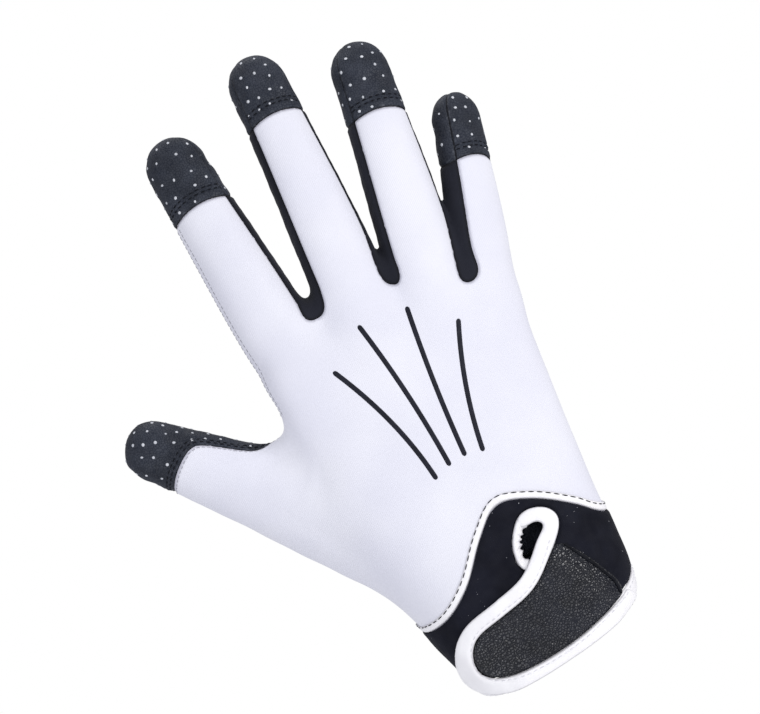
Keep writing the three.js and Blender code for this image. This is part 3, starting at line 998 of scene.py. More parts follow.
def shade(piece: Piece, degrees: float) -> None:
    """Shades a piece smooth where its faces meet at less than some degrees."""
    select_only(piece)
    bpy.ops.object.shade_smooth_by_angle(angle=math.radians(degrees))


def border_distance(piece: Piece, points: Array) -> Array:
    """How far each point of an open skin lies from its border.

    Args:
        piece: the skin.
        points: its points in millimetres.

    Returns:
        The distances.
    """
    loops = np.empty(len(piece.data.loops), int)
    piece.data.loops.foreach_get("edge_index", loops)
    uses = np.bincount(loops, minlength=len(piece.data.edges))
    ends = np.empty(len(piece.data.edges) * 2, int)
    piece.data.edges.foreach_get("vertices", ends)
    ends = ends.reshape(-1, 2)[uses == 1]
    middles = (points[ends[:, 0]] + points[ends[:, 1]]) / 2
    return distance_to(np.concatenate([points[ends[:, 0]], middles]), points)


@dataclass
class Skin:
    """The outer side of a finished soft piece: its object, its points and what lies round them."""

    piece: Piece
    points: Array
    normals: Array
    border: Array
    faces: Array
    tree: BVHTree

    def rim(self) -> Array:
        """The points on its border."""
        return self.points[self.border < 0.02]

    def hit(self, start: Array, way: Array) -> tuple[Array, Array] | None:
        """Where a line of sight meets the skin from outside, and the normal there."""
        place, normal, _, _ = self.tree.ray_cast(Vector(start), Vector(way))
        if place is None or normal.dot(Vector(way)) > 0:
            return None
        return np.array(place), np.array(normal)


Shaping = Callable[[Array, Array, Array], Array]


def soft_piece(
    name: str,
    form: HandForm,
    points: Array,
    faces: list[list[int]],
    level: float,
    wall: float,
    levels: int,
    shaping: Shaping,
    drawn: Callable[[Array], Array] | None = None,
) -> Skin:
    """A piece of cloth, leather or tape laid on the form.

    Args:
        name: the piece's name.
        form: the form of the hand.
        points: the points of its outer side.
        faces: the faces between them.
        level: how far its outer side lies out of the form's skin.
        wall: its thickness, inward.
        levels: how often its faces are divided.
        shaping: gives how far each point stands out of that level, from the points, their
            normals and their distances from the border.
        drawn: gives how far gathers draw each point aside, or None for none.

    Returns:
        The finished skin.
    """
    made = mesh_object(name, points, faces)
    apply_modifier(made, "SUBSURF", levels=levels, render_levels=levels)
    placed, normals = form.settle(read_points(made), level)
    border = border_distance(made, placed)
    aside = drawn(placed) if drawn else 0.0
    placed = placed + normals * shaping(placed, normals, border)[:, None] + aside
    write_points(made, placed)
    carried = made.data.attributes.new("border", "FLOAT", "POINT")
    carried.data.foreach_set("value", border.astype(np.float32))
    quads = np.array([list(face.vertices) for face in made.data.polygons])
    tree = BVHTree.FromPolygons(placed.tolist(), quads.tolist())
    apply_modifier(made, "SOLIDIFY", thickness=wall * MM, offset=-1.0, use_rim=True)
    shade(made, 50.0)
    log.info("%s: %d faces", name, len(made.data.polygons))
    return Skin(made, placed, normals, border, quads, tree)


class Slot(Enum):
    """The material slots of the glove's record."""

    CLOTH = "stretch_cloth"
    GRIP = "grip_leather"
    SIDE = "side_cloth"
    NEOPRENE = "neoprene"
    TAPE = "white_tape"
    STRAP = "strap_leather"


@dataclass(frozen=True)
class Cut:
    """The flat size that a panel is cut to, in metres and square metres."""

    width: float
    length: float
    area: float
    sewn_to: str

    def declare(self, piece: Piece) -> None:
        """Takes a piece but does nothing with it: the cut is not declared to the frame."""


CUTS = {
    "back_cloth": Cut(0.175, 0.19, 0.0182, "palm_leather"),
    "palm_leather": Cut(0.15, 0.21, 0.0189, "back_cloth"),
    "thumb_leather": Cut(0.075, 0.085, 0.0041, "palm_leather"),
    "cap_index": Cut(0.034, 0.032, 0.0008, "palm_leather"),
    "cap_middle": Cut(0.03, 0.028, 0.00055, "palm_leather"),
    "cap_ring": Cut(0.032, 0.029, 0.00062, "palm_leather"),
    "cap_little": Cut(0.026, 0.027, 0.00047, "palm_leather"),
    "side_strip_index": Cut(0.014, 0.145, 0.00153, "palm_leather"),
    "side_strip_middle": Cut(0.014, 0.145, 0.00153, "palm_leather"),
    "side_strip_ring": Cut(0.012, 0.12, 0.0009, "palm_leather"),
}
TAPES = {
    "piping_tape": "cuff_piping",
    "rim_hem": "hem_binding",
    "slit_edging": "slit_binding",
    "strap_tape": "strap_binding",
}


def dress(piece: Piece, material: Material, slot: Slot, *nodes: str) -> None:
    """Gives a piece its finish and its place in the frame.

    Args:
        piece: the piece.
        material: its finish.
        slot: the record's material slot; not used.
        *nodes: the frame's nodes that the piece stands for.
    """
    piece.data.materials.clear()
    piece.data.materials.append(material)
    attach(piece, "root")
    if nodes:
        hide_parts(*nodes)


@dataclass
class Path:
    """A line over a skin, with the skin's normal at each point."""

    SPAN: ClassVar[float] = 0.6  # how far along the line its heading is taken, each way
    points: Array
    normals: Array

    def spaced(self, pitch: float) -> list[tuple[Array, Array, Array]]:
        """Places along the line at a pitch, each with its normal and the line's heading.

        Args:
            pitch: the distance between two places.

        Returns:
            A place, a normal and a heading for each.
        """
        steps = np.linalg.norm(np.diff(self.points, axis=0), axis=1)
        run = np.concatenate([[0.0], np.cumsum(steps)])
        at = np.arange(pitch / 2, run[-1], pitch)
        ahead, behind = np.minimum(at + self.SPAN, run[-1]), np.maximum(at - self.SPAN, 0.0)

        def walked(values: Array, where: Array) -> Array:
            """Rows of values at distances along the line."""
            return np.stack([np.interp(where, run, column) for column in values.T], axis=1)

        headings = unit(walked(self.points, ahead) - walked(self.points, behind))
        return list(zip(walked(self.points, at), unit(walked(self.normals, at)), headings))


def contours(skin: Skin, values: Array, level: float) -> list[Path]:
    """The lines over a skin along which a value has one level.

    Args:
        skin: the skin.
        values: the value at each of its points.
        level: the level to follow.

    Returns:
        The lines.
    """
    height = values - level
    height = np.where(np.abs(height) < 1e-7, 1e-7, height)
    triangles = np.concatenate([skin.faces[:, [0, 1, 2]], skin.faces[:, [0, 2, 3]]])
    signs = height[triangles] > 0
    triangles = triangles[signs.any(axis=1) & ~signs.all(axis=1)]
    joined: dict[tuple[int, int], list[tuple[int, int]]] = {}
    for triangle in triangles.tolist():
        ends = [
            (min(one, other), max(one, other))
            for one, other in zip(triangle, triangle[1:] + triangle[:1])
            if (height[one] > 0) != (height[other] > 0)
        ]
        joined.setdefault(ends[0], []).append(ends[1])
        joined.setdefault(ends[1], []).append(ends[0])
    lines = []
    left = set(joined)
    for start in sorted(joined, key=lambda key: (len(joined[key]), key)):
        if start not in left:
            continue
        walk = [start]
        left.discard(start)
        while onward := [key for key in joined[walk[-1]] if key in left]:
            walk.append(onward[0])
            left.discard(onward[0])
        if len(walk) > 2 and start in joined[walk[-1]]:
            walk.append(start)
        pairs = np.array(walk)
        share = (height[pairs[:, 0]] / (height[pairs[:, 0]] - height[pairs[:, 1]]))[:, None]
        places = skin.points[pairs[:, 0]] * (1 - share) + skin.points[pairs[:, 1]] * share
        normals = unit(skin.normals[pairs[:, 0]] * (1 - share) + skin.normals[pairs[:, 1]] * share)
        if len(places) > 2 and np.linalg.norm(np.diff(places, axis=0), axis=1).sum() >= LEAST_LINE:
            lines.append(Path(places, normals))
    return lines


class Scatter:
    """Many small copies of one rounded shape, joined in one mesh."""

    def __init__(self, name: str, segments: int = 8, rings: int = 5) -> None:
        """Takes a small ball as the shape.

        Args:
            name: the mesh's name.
            segments: the ball's faces round it.
            rings: its rings from pole to pole.
        """
        self.name = name
        bpy.ops.object.select_all(action="DESELECT")
        bpy.ops.mesh.primitive_uv_sphere_add(segments=segments, ring_count=rings, radius=1.0)
        ball = bpy.context.object
        self.shape = np.array([vertex.co[:] for vertex in ball.data.vertices])
        self.faces = [list(face.vertices) for face in ball.data.polygons]
        bpy.data.objects.remove(ball)
        self.points: list[Array] = []

    def put(self, place: Array, normal: Array, heading: Array, size: tuple[float, float, float]) -> None:
        """Adds one copy.

        Args:
            place: its centre.
            normal: the way that its height points.
            heading: roughly the way that its length points.
            size: its length, width and height from end to end.
        """
        aside = unit(np.cross(normal, heading))
        ahead = np.cross(aside, normal)
        half = self.shape * np.array(size) / 2
        self.points.append(place + half[:, :1] * ahead + half[:, 1:2] * aside + half[:, 2:] * normal)

    def made(self) -> Piece:
        """The mesh of all copies."""
        count = len(self.shape)
        copies = range(len(self.points))
        faces = [[point + i * count for point in face] for i in copies for face in self.faces]
        piece = mesh_object(self.name, np.concatenate(self.points), faces)
        select_only(piece)
        bpy.ops.object.shade_smooth()
        log.info("%s: %d copies", self.name, len(self.points))
        return piece


@dataclass(frozen=True)
class Stitch:
    """The size of one stitch, and how far apart two of them start."""

    length: float
    width: float
    height: float
    pitch: float = 2.5
    lift: float = 0.05

    def sew(
        self, scatter: Scatter, paths: Iterable[Path], keep: Callable[[Array], bool] = lambda place: True
    ) -> None:
        """Adds the stitches of some lines.

        Args:
            scatter: what they are added to.
            paths: the lines.
            keep: says whether a place is sewn.
        """
        for path in paths:
            for place, normal, heading in path.spaced(self.pitch):
                if keep(place):
                    size = (self.length, self.width, self.height)
                    scatter.put(place + normal * self.lift, normal, heading, size)


LEATHER_STITCH = Stitch(1.6, 0.5, 0.5)
FINE_STITCH = Stitch(1.5, 0.34, 0.3, 1.9)
PIPING_STITCH = Stitch(2.3, 0.42, 0.4, 3.0)
TAPE_STITCH = Stitch(1.7, 0.45, 0.34, 2.4)
STRAP_STITCH = Stitch(3.6, 1.1, 0.9, 2.4, 0.3)


class Sheet:
    """A material's nodes, with short calls for those that the finishes use."""

    WAVE = 0.314  # scale of a wave texture whose ribs are 1 apart

    def __init__(self, name: str) -> None:
        """Makes an empty material with a shader and its output.

        Args:
            name: the material's name.
        """
        self.material = bpy.data.materials.new(name)
        self.material.use_nodes = True
        self.tree = self.material.node_tree
        self.tree.nodes.clear()
        self.shader = self.add("ShaderNodeBsdfPrincipled")
        out = self.add("ShaderNodeOutputMaterial")
        self.join(self.shader.outputs["BSDF"], out.inputs["Surface"])
        self.coordinates = self.add("ShaderNodeTexCoord").outputs["Object"]

    def add(self, kind: str, **settings: object) -> Node:
        """A new node.

        Args:
            kind: its kind.
            **settings: its settings.

        Returns:
            The node.
        """
        node = self.tree.nodes.new(kind)
        for name, value in settings.items():
            setattr(node, name, value)
        return node

    def join(self, start: Socket, end: Socket) -> None:
        """Links two sockets."""
        self.tree.links.new(start, end)

    def set(self, **values: Socket | float) -> None:
        """Sets or links the shader's own sockets; underscores stand for spaces."""
        for name, value in values.items():
            self.put(value, self.shader.inputs[name.replace("_", " ")])

    def pattern(self, kind: str, scale: float, where: Socket | None = None, **settings: object) -> Node:
        """A texture node on the object's coordinates.

        Args:
            kind: the node's kind.
            scale: how often its pattern repeats in a millimetre.
            where: other coordinates, or None for the object's own.
            **settings: the node's settings.

        Returns:
            The node.
        """
        node = self.add(kind, **settings)
        node.inputs["Scale"].default_value = scale / MM
        self.join(where or self.coordinates, node.inputs["Vector"])
        return node

    def turned(self, turn: float) -> Socket:
        """The object's coordinates, turned about Y by some degrees."""
        node = self.add("ShaderNodeMapping")
        node.inputs["Rotation"].default_value = (0, math.radians(turn), 0)
        self.join(self.coordinates, node.inputs["Vector"])
        return node.outputs["Vector"]

    def noise(self, size: float, detail: float = 2.0) -> Socket:
        """Cloudy noise whose swells are about size millimetres wide."""
        node = self.pattern("ShaderNodeTexNoise", 1.0 / size)
        node.inputs["Detail"].default_value = detail
        return node.outputs["Fac"]

    def cells(self, size: float, feature: str = "F1") -> Node:
        """A field of cells about size millimetres wide."""
        return self.pattern("ShaderNodeTexVoronoi", 1.0 / size, feature=feature)

    def ribs(self, pitch: float, axis: str, bend: float, where: Socket | None = None) -> Socket:
        """Parallel ribs.

        Args:
            pitch: the distance between two, in millimetres.
            axis: the axis that they cross.
            bend: how far they wander.
            where: turned coordinates, or None for the object's own.

        Returns:
            Their height.
        """
        node = self.pattern(
            "ShaderNodeTexWave", self.WAVE / pitch, where, wave_type="BANDS", bands_direction=axis
        )
        node.inputs["Distortion"].default_value = bend
        node.inputs["Detail"].default_value = 0.0
        return node.outputs["Fac"]

    def math(self, operation: str, one: Socket, other: Socket | float) -> Socket:
        """One sum of a socket and another or a number."""
        node = self.add("ShaderNodeMath", operation=operation)
        self.join(one, node.inputs[0])
        self.put(other, node.inputs[1])
        return node.outputs["Value"]

    def put(self, value: Socket | float | Colour, socket: Socket) -> None:
        """Links a socket to another, or sets its number or colour."""
        if isinstance(value, Socket):
            self.join(value, socket)
        else:
            socket.default_value = (*value, 1.0) if isinstance(value, tuple) else value

    def ranged(self, value: Socket, low: float, high: float, start: float = 0.0, end: float = 1.0) -> Socket:
        """A value spread smoothly over a new range.

        Args:
            value: the value.
            low: where the new range starts.
            high: where it ends.
            start: the number at low and below.
            end: the number at high and above.

        Returns:
            The new value.
        """
        node = self.add("ShaderNodeMapRange", interpolation_type="SMOOTHSTEP")
        for name, number in (("From Min", low), ("From Max", high), ("To Min", start), ("To Max", end)):
            node.inputs[name].default_value = number
        self.join(value, node.inputs["Value"])
        return node.outputs["Result"]

    def blend(self, share: Socket, start: Socket | Colour, end: Socket | Colour) -> Socket:
        """Two colours mixed.

        Args:
            share: the share of the second.
            start: the first.
            end: the second.

        Returns:
            The mixed colour.
        """
        node = self.add("ShaderNodeMix", data_type="RGBA")
        self.join(share, node.inputs["Factor"])
        for name, value in (("A", start), ("B", end)):
            self.put(value, next(item for item in node.inputs if item.name == name and item.type == "RGBA"))
        return next(item for item in node.outputs if item.type == "RGBA")

    def border(self, low: float, high: float, most: float) -> Socket:
        """A share that falls from most at low to 0 at high, in millimetres from the piece's border."""
        away = self.add("ShaderNodeAttribute", attribute_name="border").outputs["Fac"]
        return self.ranged(away, low, high, most, 0.0)

    def relief(self, *layers: tuple[Socket, float]) -> None:
        """Bumps the surface.

        Args:
            *layers: heights, each with its depth in millimetres.
        """
        normal = None
        for height, depth in layers:
            node = self.add("ShaderNodeBump")
            node.inputs["Distance"].default_value = depth * MM
            self.join(height, node.inputs["Height"])
            if normal is not None:
                self.join(normal, node.inputs["Normal"])
            normal = node.outputs["Normal"]
        self.set(Normal=normal)

    def clouds(self, noise: Socket, low: float, high: float, start: Colour, end: Colour) -> Socket:
        """A colour that changes in clouds from start to end."""
        return self.blend(self.ranged(noise, low, high), start, end)


@dataclass(frozen=True)
class Finish:
    """What a surface is made of, with its lightest and its darkest colour."""

    name: str
    light: Colour
    dark: Colour

    def paint(self, sheet: Sheet) -> None:
        """Adds the finish to a material's nodes."""
        raise NotImplementedError

    def material(self) -> Material:
        """The finish as a material."""
        sheet = Sheet(self.name)
        self.paint(sheet)
        return sheet.material


@dataclass(frozen=True)
class Knit(Finish):
    """Fine stretch knit."""

    # the colour the cloth darkens to along its border: painted shade in the seam's valley
    seam: Colour
    pitch: float = 0.62
    depth: float = 0.05
    gloss: float = 0.35
    sheen: float = 0.15

    def paint(self, sheet: Sheet) -> None:
        """Adds the finish to a material's nodes."""
        turned = sheet.turned(-4.0)
        wales = sheet.ribs(self.pitch, "X", 0.4, turned)
        courses = sheet.ribs(self.pitch * 0.8, "Z", 0.5, turned)
        loops = sheet.math("MULTIPLY", wales, courses)
        clouds = sheet.noise(38.0, 3.0)
        tone = sheet.clouds(clouds, 0.32, 0.68, self.light, self.dark)
        # painted shade: the hollows between the knit's loops darken towards the dark colour
        tone = sheet.blend(sheet.ranged(loops, 0.0, 0.5, 0.12, 0.0), tone, self.dark)
        # painted shade: over the valley at its border the cloth darkens towards the seam colour
        tone = sheet.blend(sheet.border(0.15, 1.3, 0.85), tone, self.seam)
        sheet.set(Base_Color=tone, Roughness=sheet.ranged(clouds, 0.3, 0.7, 0.78, 0.9))
        sheet.set(Specular_IOR_Level=self.gloss, Sheen_Weight=self.sheen, Sheen_Roughness=0.5)
        fuzz = sheet.noise(0.5, 3.0)
        sheet.relief((loops, self.depth), (fuzz, self.depth * 0.6), (sheet.noise(5.0), 0.05))


@dataclass(frozen=True)
class Leather(Finish):
    """Grained leather or its imitation."""

    worn: Colour
    # the colour at the piece's border: painted shade in the seam's gap
    seam: Colour
    grain: float = 0.9
    crease: float = 0.12
    depth: float = 0.05
    rough: tuple[float, float] = (0.55, 0.72)
    specular: float = 0.5
    worn_share: float = 0.35

    def paint(self, sheet: Sheet) -> None:
        """Adds the finish to a material's nodes."""
        warp = sheet.noise(6.0)
        pebbles = sheet.cells(self.grain, "DISTANCE_TO_EDGE").outputs["Distance"]
        creases = sheet.ranged(pebbles, 0.0, self.crease)
        tone = sheet.clouds(sheet.noise(9.0, 4.0), 0.3, 0.7, self.dark, self.light)
        # painted shade: the grain's creases darken towards the dark colour
        tone = sheet.blend(sheet.ranged(creases, 0.0, 1.0, 0.3, 0.0), tone, self.dark)
        edge = sheet.math("ADD", sheet.border(0.4, 1.3, self.worn_share), 0.06)
        wear = sheet.math("MULTIPLY", edge, sheet.ranged(sheet.noise(2.2, 5.0), 0.5, 0.72))
        # real wear lightens the edges in patches; the last 0.6 mm darkens to the seam colour, painted shade
        # in the seam
        tone = sheet.blend(sheet.border(0.1, 0.6, 0.85), sheet.blend(wear, tone, self.worn), self.seam)
        sheet.set(Base_Color=tone, Roughness=sheet.ranged(warp, 0.3, 0.7, *self.rough))
        sheet.set(Specular_IOR_Level=sheet.ranged(creases, 0.0, 1.0, self.specular * 0.3, self.specular))
        sheet.relief((creases, self.depth), (sheet.noise(0.35), self.depth * 0.4), (warp, 0.08))


@dataclass(frozen=True)
class Neoprene(Finish):
    """Foam rubber faced with fine jersey, with lint caught on it."""

    lint: Colour

    def paint(self, sheet: Sheet) -> None:
        """Adds the finish to a material's nodes."""
        jersey = sheet.math("MULTIPLY", sheet.ribs(0.7, "X", 0.5), sheet.ribs(0.55, "Z", 0.5))
        tone = sheet.clouds(sheet.noise(12.0, 3.0), 0.3, 0.7, self.dark, self.light)
        specks = self.specks(sheet, 2.3, (0.04, 0.09), 1.0, 0.78)
        grit = self.specks(sheet, 1.15, (0.06, 0.12), 0.8, 0.6)
        patches = sheet.ranged(sheet.noise(11.0, 1.0), 0.57, 0.62)
        lint = sheet.math("MAXIMUM", specks, sheet.math("MULTIPLY", grit, patches))
        rough = sheet.ranged(sheet.noise(4.0), 0.3, 0.7, 0.7, 0.86)
        sheet.set(Base_Color=sheet.blend(lint, tone, self.lint), Roughness=rough)
        sheet.set(Specular_IOR_Level=0.12, Sheen_Weight=0.015, Sheen_Roughness=0.4)
        sheet.relief((jersey, 0.05), (sheet.noise(0.6, 3.0), 0.04), (sheet.noise(7.0), 0.12))

    def specks(
        self, sheet: Sheet, size: float, reach: tuple[float, float], most: float, rare: float
    ) -> Socket:
        """Specks in some of a field's cells.

        Args:
            sheet: the material's nodes.
            size: width of a cell in millimetres.
            reach: where a speck's edge starts and ends, in shares of a cell.
            most: its strength.
            rare: share of the cells that have none.

        Returns:
            The specks' strength.
        """
        cells = sheet.cells(size)
        speck = sheet.ranged(cells.outputs["Distance"], *reach, most, 0.0)
        return sheet.math("MULTIPLY", speck, sheet.math("GREATER_THAN", cells.outputs["Color"], rare))


@dataclass(frozen=True)
class Plain(Finish):
    """Thread, rubber or print: a small thing of one colour with a slight change of tone."""

    rough: float
    twist: float = 0.25
    depth: float = 0.03
    gloss: float = 0.4

    def paint(self, sheet: Sheet) -> None:
        """Adds the finish to a material's nodes."""
        rough = sheet.ranged(sheet.noise(1.5), 0.3, 0.7, self.rough - 0.08, self.rough + 0.08)
        tone = sheet.clouds(sheet.noise(4.0, 3.0), 0.3, 0.7, self.light, self.dark)
        sheet.set(Base_Color=tone, Roughness=rough, Specular_IOR_Level=self.gloss)
        sheet.relief((sheet.noise(self.twist), self.depth))


# The third colour of each knit is the painted shade that its seams' valleys are darkened with.
WHITE_KNIT = Knit("white_knit", (0.775, 0.782, 0.848), (0.72, 0.727, 0.812), (0.48, 0.48, 0.56))
BLACK_KNIT = Knit(
    "black_knit", (0.015, 0.0165, 0.027), (0.008, 0.009, 0.015), (0.004, 0.0045, 0.007),
    depth=0.06, gloss=0.22, sheen=0.05,
)
# The last colour of each leather is the painted shade that its edges darken to in the seams.
GRIP = Leather(
    "grip_leather", (0.028, 0.034, 0.05), (0.014, 0.0175, 0.027), (0.15, 0.16, 0.19), (0.004, 0.005, 0.008),
    specular=0.36, depth=0.09,
)
STRAP_FACE = Leather(
    "strap_leather",
    (0.0095, 0.0115, 0.02), (0.003, 0.004, 0.0075), (0.06, 0.065, 0.08), (0.003, 0.004, 0.006),
    grain=0.95, crease=0.28, depth=0.24, rough=(0.26, 0.38), specular=0.85, worn_share=0.05,
)
TAPE = Leather(
    "white_tape", (0.92, 0.92, 0.94), (0.87, 0.865, 0.89), (0.76, 0.75, 0.76), (0.6, 0.59, 0.62),
    grain=0.5, depth=0.03, rough=(0.5, 0.66), specular=0.45, worn_share=0.3,
)
CUFF_NEOPRENE = Neoprene("neoprene", (0.0095, 0.0105, 0.018), (0.005, 0.0055, 0.01), (0.5, 0.5, 0.54))
BLACK_THREAD = Plain("black_thread", (0.007, 0.008, 0.012), (0.003, 0.0035, 0.006), 0.75, gloss=0.15)
GREY_THREAD = Plain("grey_thread", (0.42, 0.42, 0.46), (0.3, 0.3, 0.34), 0.75)
WHITE_THREAD = Plain("white_thread", (0.8, 0.8, 0.83), (0.66, 0.66, 0.7), 0.7)
RUBBER_DOT = Plain("rubber_dot", (0.62, 0.64, 0.68), (0.44, 0.46, 0.5), 0.5, twist=0.4, depth=0.02)
FAN_PRINT = Plain(
    "fan_print", (0.011, 0.012, 0.022), (0.006, 0.007, 0.013), 0.6, twist=0.5, depth=0.015, gloss=0.2
)


@dataclass(frozen=True)
class Notch:
    """The rounded slot that a side strip fills between two fingers, seen square to the palm."""

    low: tuple[float, float]
    high: tuple[float, float]
    half: float

    def distance(self, x: Array, z: Array) -> Array:
        """How far places lie outside the slot.

        Args:
            x: how far they lie across the hand.
            z: how far they lie up it.

        Returns:
            A distance for each.
        """
        start = np.array([self.low[0], self.low[1] + self.half])
        run = np.array(self.high) - start
        off = np.stack([x, z], axis=1) - start
        share = np.clip(off @ run / (run @ run), 0, 1)
        return np.linalg.norm(off - share[:, None] * run, axis=1) - self.half * (1 - 0.85 * share)


WEB_NOTCHES = (
    Notch((-20.2, 135.6), (-18.6, 160.0), 3.6),
    Notch((9.4, 134.2), (11.0, 164.0), 3.4),
    Notch((34.2, 121.9), (39.5, 156.0), 3.7),
)
PALM_NOTCHES = {
    "middle": Notch((9.5, 143.2), (13.7, 176.0), 4.6),
    "ring": Notch((37.2, 147.4), (45.0, 179.0), 4.4),
}


@dataclass
class HandPanels:
    """The cloth and leather of the hand: the back, the caps, the side strips, the palm and the thumb."""

    form: HandForm
    seam_depth: float = 0.55
    seam_width: float = 1.3
    side_allowance: float = 2.5
    tuck: float = 3.4
    web_wrap: float = 1.2
    web_reach: float = 7.0
    web_start: float = -55.0
    edge_wrap: float = 6.0
    edge_wrap_above: float = 3.5
    edge_reach: float = 6.0
    edge_end: float = -33.0
    from_palm: float = 12.0
    hem_arch: float = 2.5
    stitch_rows: tuple[float, float] = (3.3, 4.7)
    thumb_rows: tuple[float, float] = (1.6, 2.8)
    skins: dict[str, Skin] = field(default_factory=dict)

    def web_line(self, x: Array) -> Array:
        """Height of the back panel's edge between the fingers."""
        xs = [web[0] * PALM_WIDTH for web in WEBS]
        zs = [web[1] * PALM_LENGTH for web in WEBS]
        return np.interp(x, xs, zs)

    def fields(self, points: Array) -> dict[str, Array]:
        """The values that divide the skin into panels.

        Args:
            points: the skin's points.

        Returns:
            A value at each point under each name, positive inside what it names.
        """
        places = {name: digit.local(points) for name, digit in self.form.digits.items()}
        palm = Local(*self.form.palm.measure(points))
        x, y, z = points.T
        found: dict[str, Array] = {}
        back = soft_min(palm.outward + self.side_allowance, self.web_line(x) - z, 4.0)
        under = np.full(len(points), -BEYOND)
        for name, place in places.items():
            shape = DIGITS[name]
            if name == "thumb":
                from_tip = shape.length - place.along
                right = np.interp(from_tip, *zip(*THUMB_RIGHT_SEAM))
                left = np.interp(place.along, *zip(*THUMB_LEFT_SEAM))
                seam = place.beyond_seam(left, right)
            else:
                seam = place.beyond_seam(shape.left_seam, shape.right_seam)
                half = math.radians(180.0 - SEAM_ANGLE - SIDE_STRIP_ANGLE)
                below = -place.outward * math.sin(half) - np.abs(place.across) * math.cos(half)
                under = soft_max(under, soft_min(below, 4.0 - place.distance, 2.0), 3.0)
            back = soft_max(back, soft_min(seam, 1.2 - place.distance, 1.0), 1.2)
            arch = self.hem_arch * (1 - np.minimum((place.across / (shape.width / 2)) ** 2, 1.0))
            hem = shape.hem + (1.6 if name != "thumb" else 0.0) - arch
            found[f"tip_{name}"] = np.minimum(place.along - shape.length + hem, 4.0 - place.distance)
        for web in WEB_NOTCHES:
            back = soft_min(back, web.distance(x, z), 1.0)
        back = soft_max(back, self.round_web(points, palm), 6.0)
        found["back"] = soft_min(back, -found["tip_thumb"], 9.0)
        from_palm = self.from_palm * (1 - ease(-1.0, 4.0, y))
        for name, following in GAPS:
            rise = WEB_RISE * ease(0.0, 6.0, y) - 9.0 * ease(-1.0, -6.0, y)
            found[f"gap_{name}"] = self.between(points, name, following)
            above = z - self.web_line(x) - rise
            if name in PALM_NOTCHES:
                notch = PALM_NOTCHES[name]
                slot = notch.distance(x, z) + from_palm
                under = soft_min(under, slot, 1.0)
                beside = 1.5 * np.maximum(z - notch.low[1] - notch.half, 0.0)
                above = np.minimum(above, 0.5 - slot + 5 * from_palm + beside)
            found[f"above_{name}"] = above
        found["under"] = under
        thumb = places["thumb"]
        past_seam = thumb.along - (DIGITS["thumb"].length - THUMB_PANEL_LENGTH)
        found["thumb"] = soft_min(past_seam, 9.0 - thumb.distance, 9.0)
        found["above_cuff"] = self.tuck - cuff_drop(points)
        return found

    def round_web(self, points: Array, palm: Local) -> Array:
        """The cloth that wraps over the thumb's web and over the palm's edge above it.

        Args:
            points: the skin's points.
            palm: where they lie in the palm.

        Returns:
            How far each point lies inside that cloth.
        """
        x, _, z = points.T
        web = self.form.web.local(points)
        over_web = soft_min(web.outward + self.web_wrap, self.web_reach - web.distance, 1.0)
        over_web = soft_min(over_web, (x - self.web_start) * 0.6, 3.0)
        wrap = self.edge_wrap + self.edge_wrap_above * ease(85.0, 100.0, z)
        over_edge = soft_min(palm.outward + wrap, self.edge_reach - palm.distance, 1.0)
        return soft_max(over_web, np.minimum(over_edge, self.edge_end - x), 2.0)

    def between(self, points: Array, name: str, following: str) -> Array:
        """How far points lie between the centre lines of two neighbouring fingers.

        Args:
            points: the points.
            name: the first finger.
            following: the one beside it.

        Returns:
            A distance for each point.
        """
        sides = []
        for digit, sign in ((self.form.digits[name], 1.0), (self.form.digits[following], -1.0)):
            line, _ = digit.centre_line(np.linspace(0, 1, 12))
            sides.append(sign * (points[:, 0] - np.interp(points[:, 2], line[:, 2], line[:, 0])))
        return np.minimum(*sides)

    def build(self) -> None:
        """Divides the skin and makes each panel."""
        points, quads = self.form.skin(CELL)
        log.info("skin: %d quads", len(quads))
        work = Patchwork(points, quads, self.fields(points))
        names = ["back", "under", "above_cuff", "thumb"]
        names += [f"tip_{name}" for name in FINGERS]
        names += [f"{kind}_{name}" for name, _ in GAPS for kind in ("gap", "above")]
        for name in names:
            work.split(name)
        labels = self.labels(work.of_faces())
        work.smooth_seams(labels, self.form)
        for number, (name, levels) in enumerate(self.panel_names(), start=1):
            patch = largest(*work.piece(labels == number))
            self.skins[name] = soft_piece(
                name, self.form, *patch, level=self.level_of(name), wall=WALL, levels=levels,
                shaping=self.shaping_of(name),
            )

    def panel_names(self) -> list[tuple[str, int]]:
        """The panels in the order of their labels, with how often each is divided."""
        names = [("back_cloth", 1), ("palm_leather", 1), ("thumb_leather", 1)]
        names += [(f"cap_{name}", 2) for name in FINGERS]
        return names + [(f"side_strip_{name}", 1) for name, _ in GAPS]

    def labels(self, face: dict[str, Array]) -> Array:
        """The panel that each face belongs to, counted from 1, or 0 for none.

        Args:
            face: the mean of each field over each face.

        Returns:
            A number for each face.
        """
        order = [name for name, _ in self.panel_names()]
        cloth = face["above_cuff"] > 0
        label = np.where(cloth, order.index("palm_leather") + 1, 0)
        leather_tip = np.zeros(len(cloth), bool)
        for name in FINGERS:
            leather_tip |= face[f"tip_{name}"] > 0
        back = (face["back"] > 0) & cloth
        label[cloth & (face["thumb"] > 0) & ~back] = order.index("thumb_leather") + 1
        for name, _ in GAPS:
            strip = cloth & ~back & (face["under"] < 0) & ~leather_tip
            strip &= (face[f"gap_{name}"] > 0) & (face[f"above_{name}"] > 0)
            label[strip] = order.index(f"side_strip_{name}") + 1
        label[back] = order.index("back_cloth") + 1
        for name in FINGERS:
            label[back & (face[f"tip_{name}"] > 0)] = order.index(f"cap_{name}") + 1
        return label

    def level_of(self, name: str) -> float:
        """How far a panel's outer side lies out of the form's skin."""
        return 0.25 if name.startswith("cap") else 0.0

    def rows_of(self, name: str) -> tuple[float, float] | None:
        """How far from the back cloth a leather panel's two rows of stitches run, if it has any."""
        if name.startswith("cap"):
            return self.stitch_rows
        return self.thumb_rows if name == "thumb_leather" else None

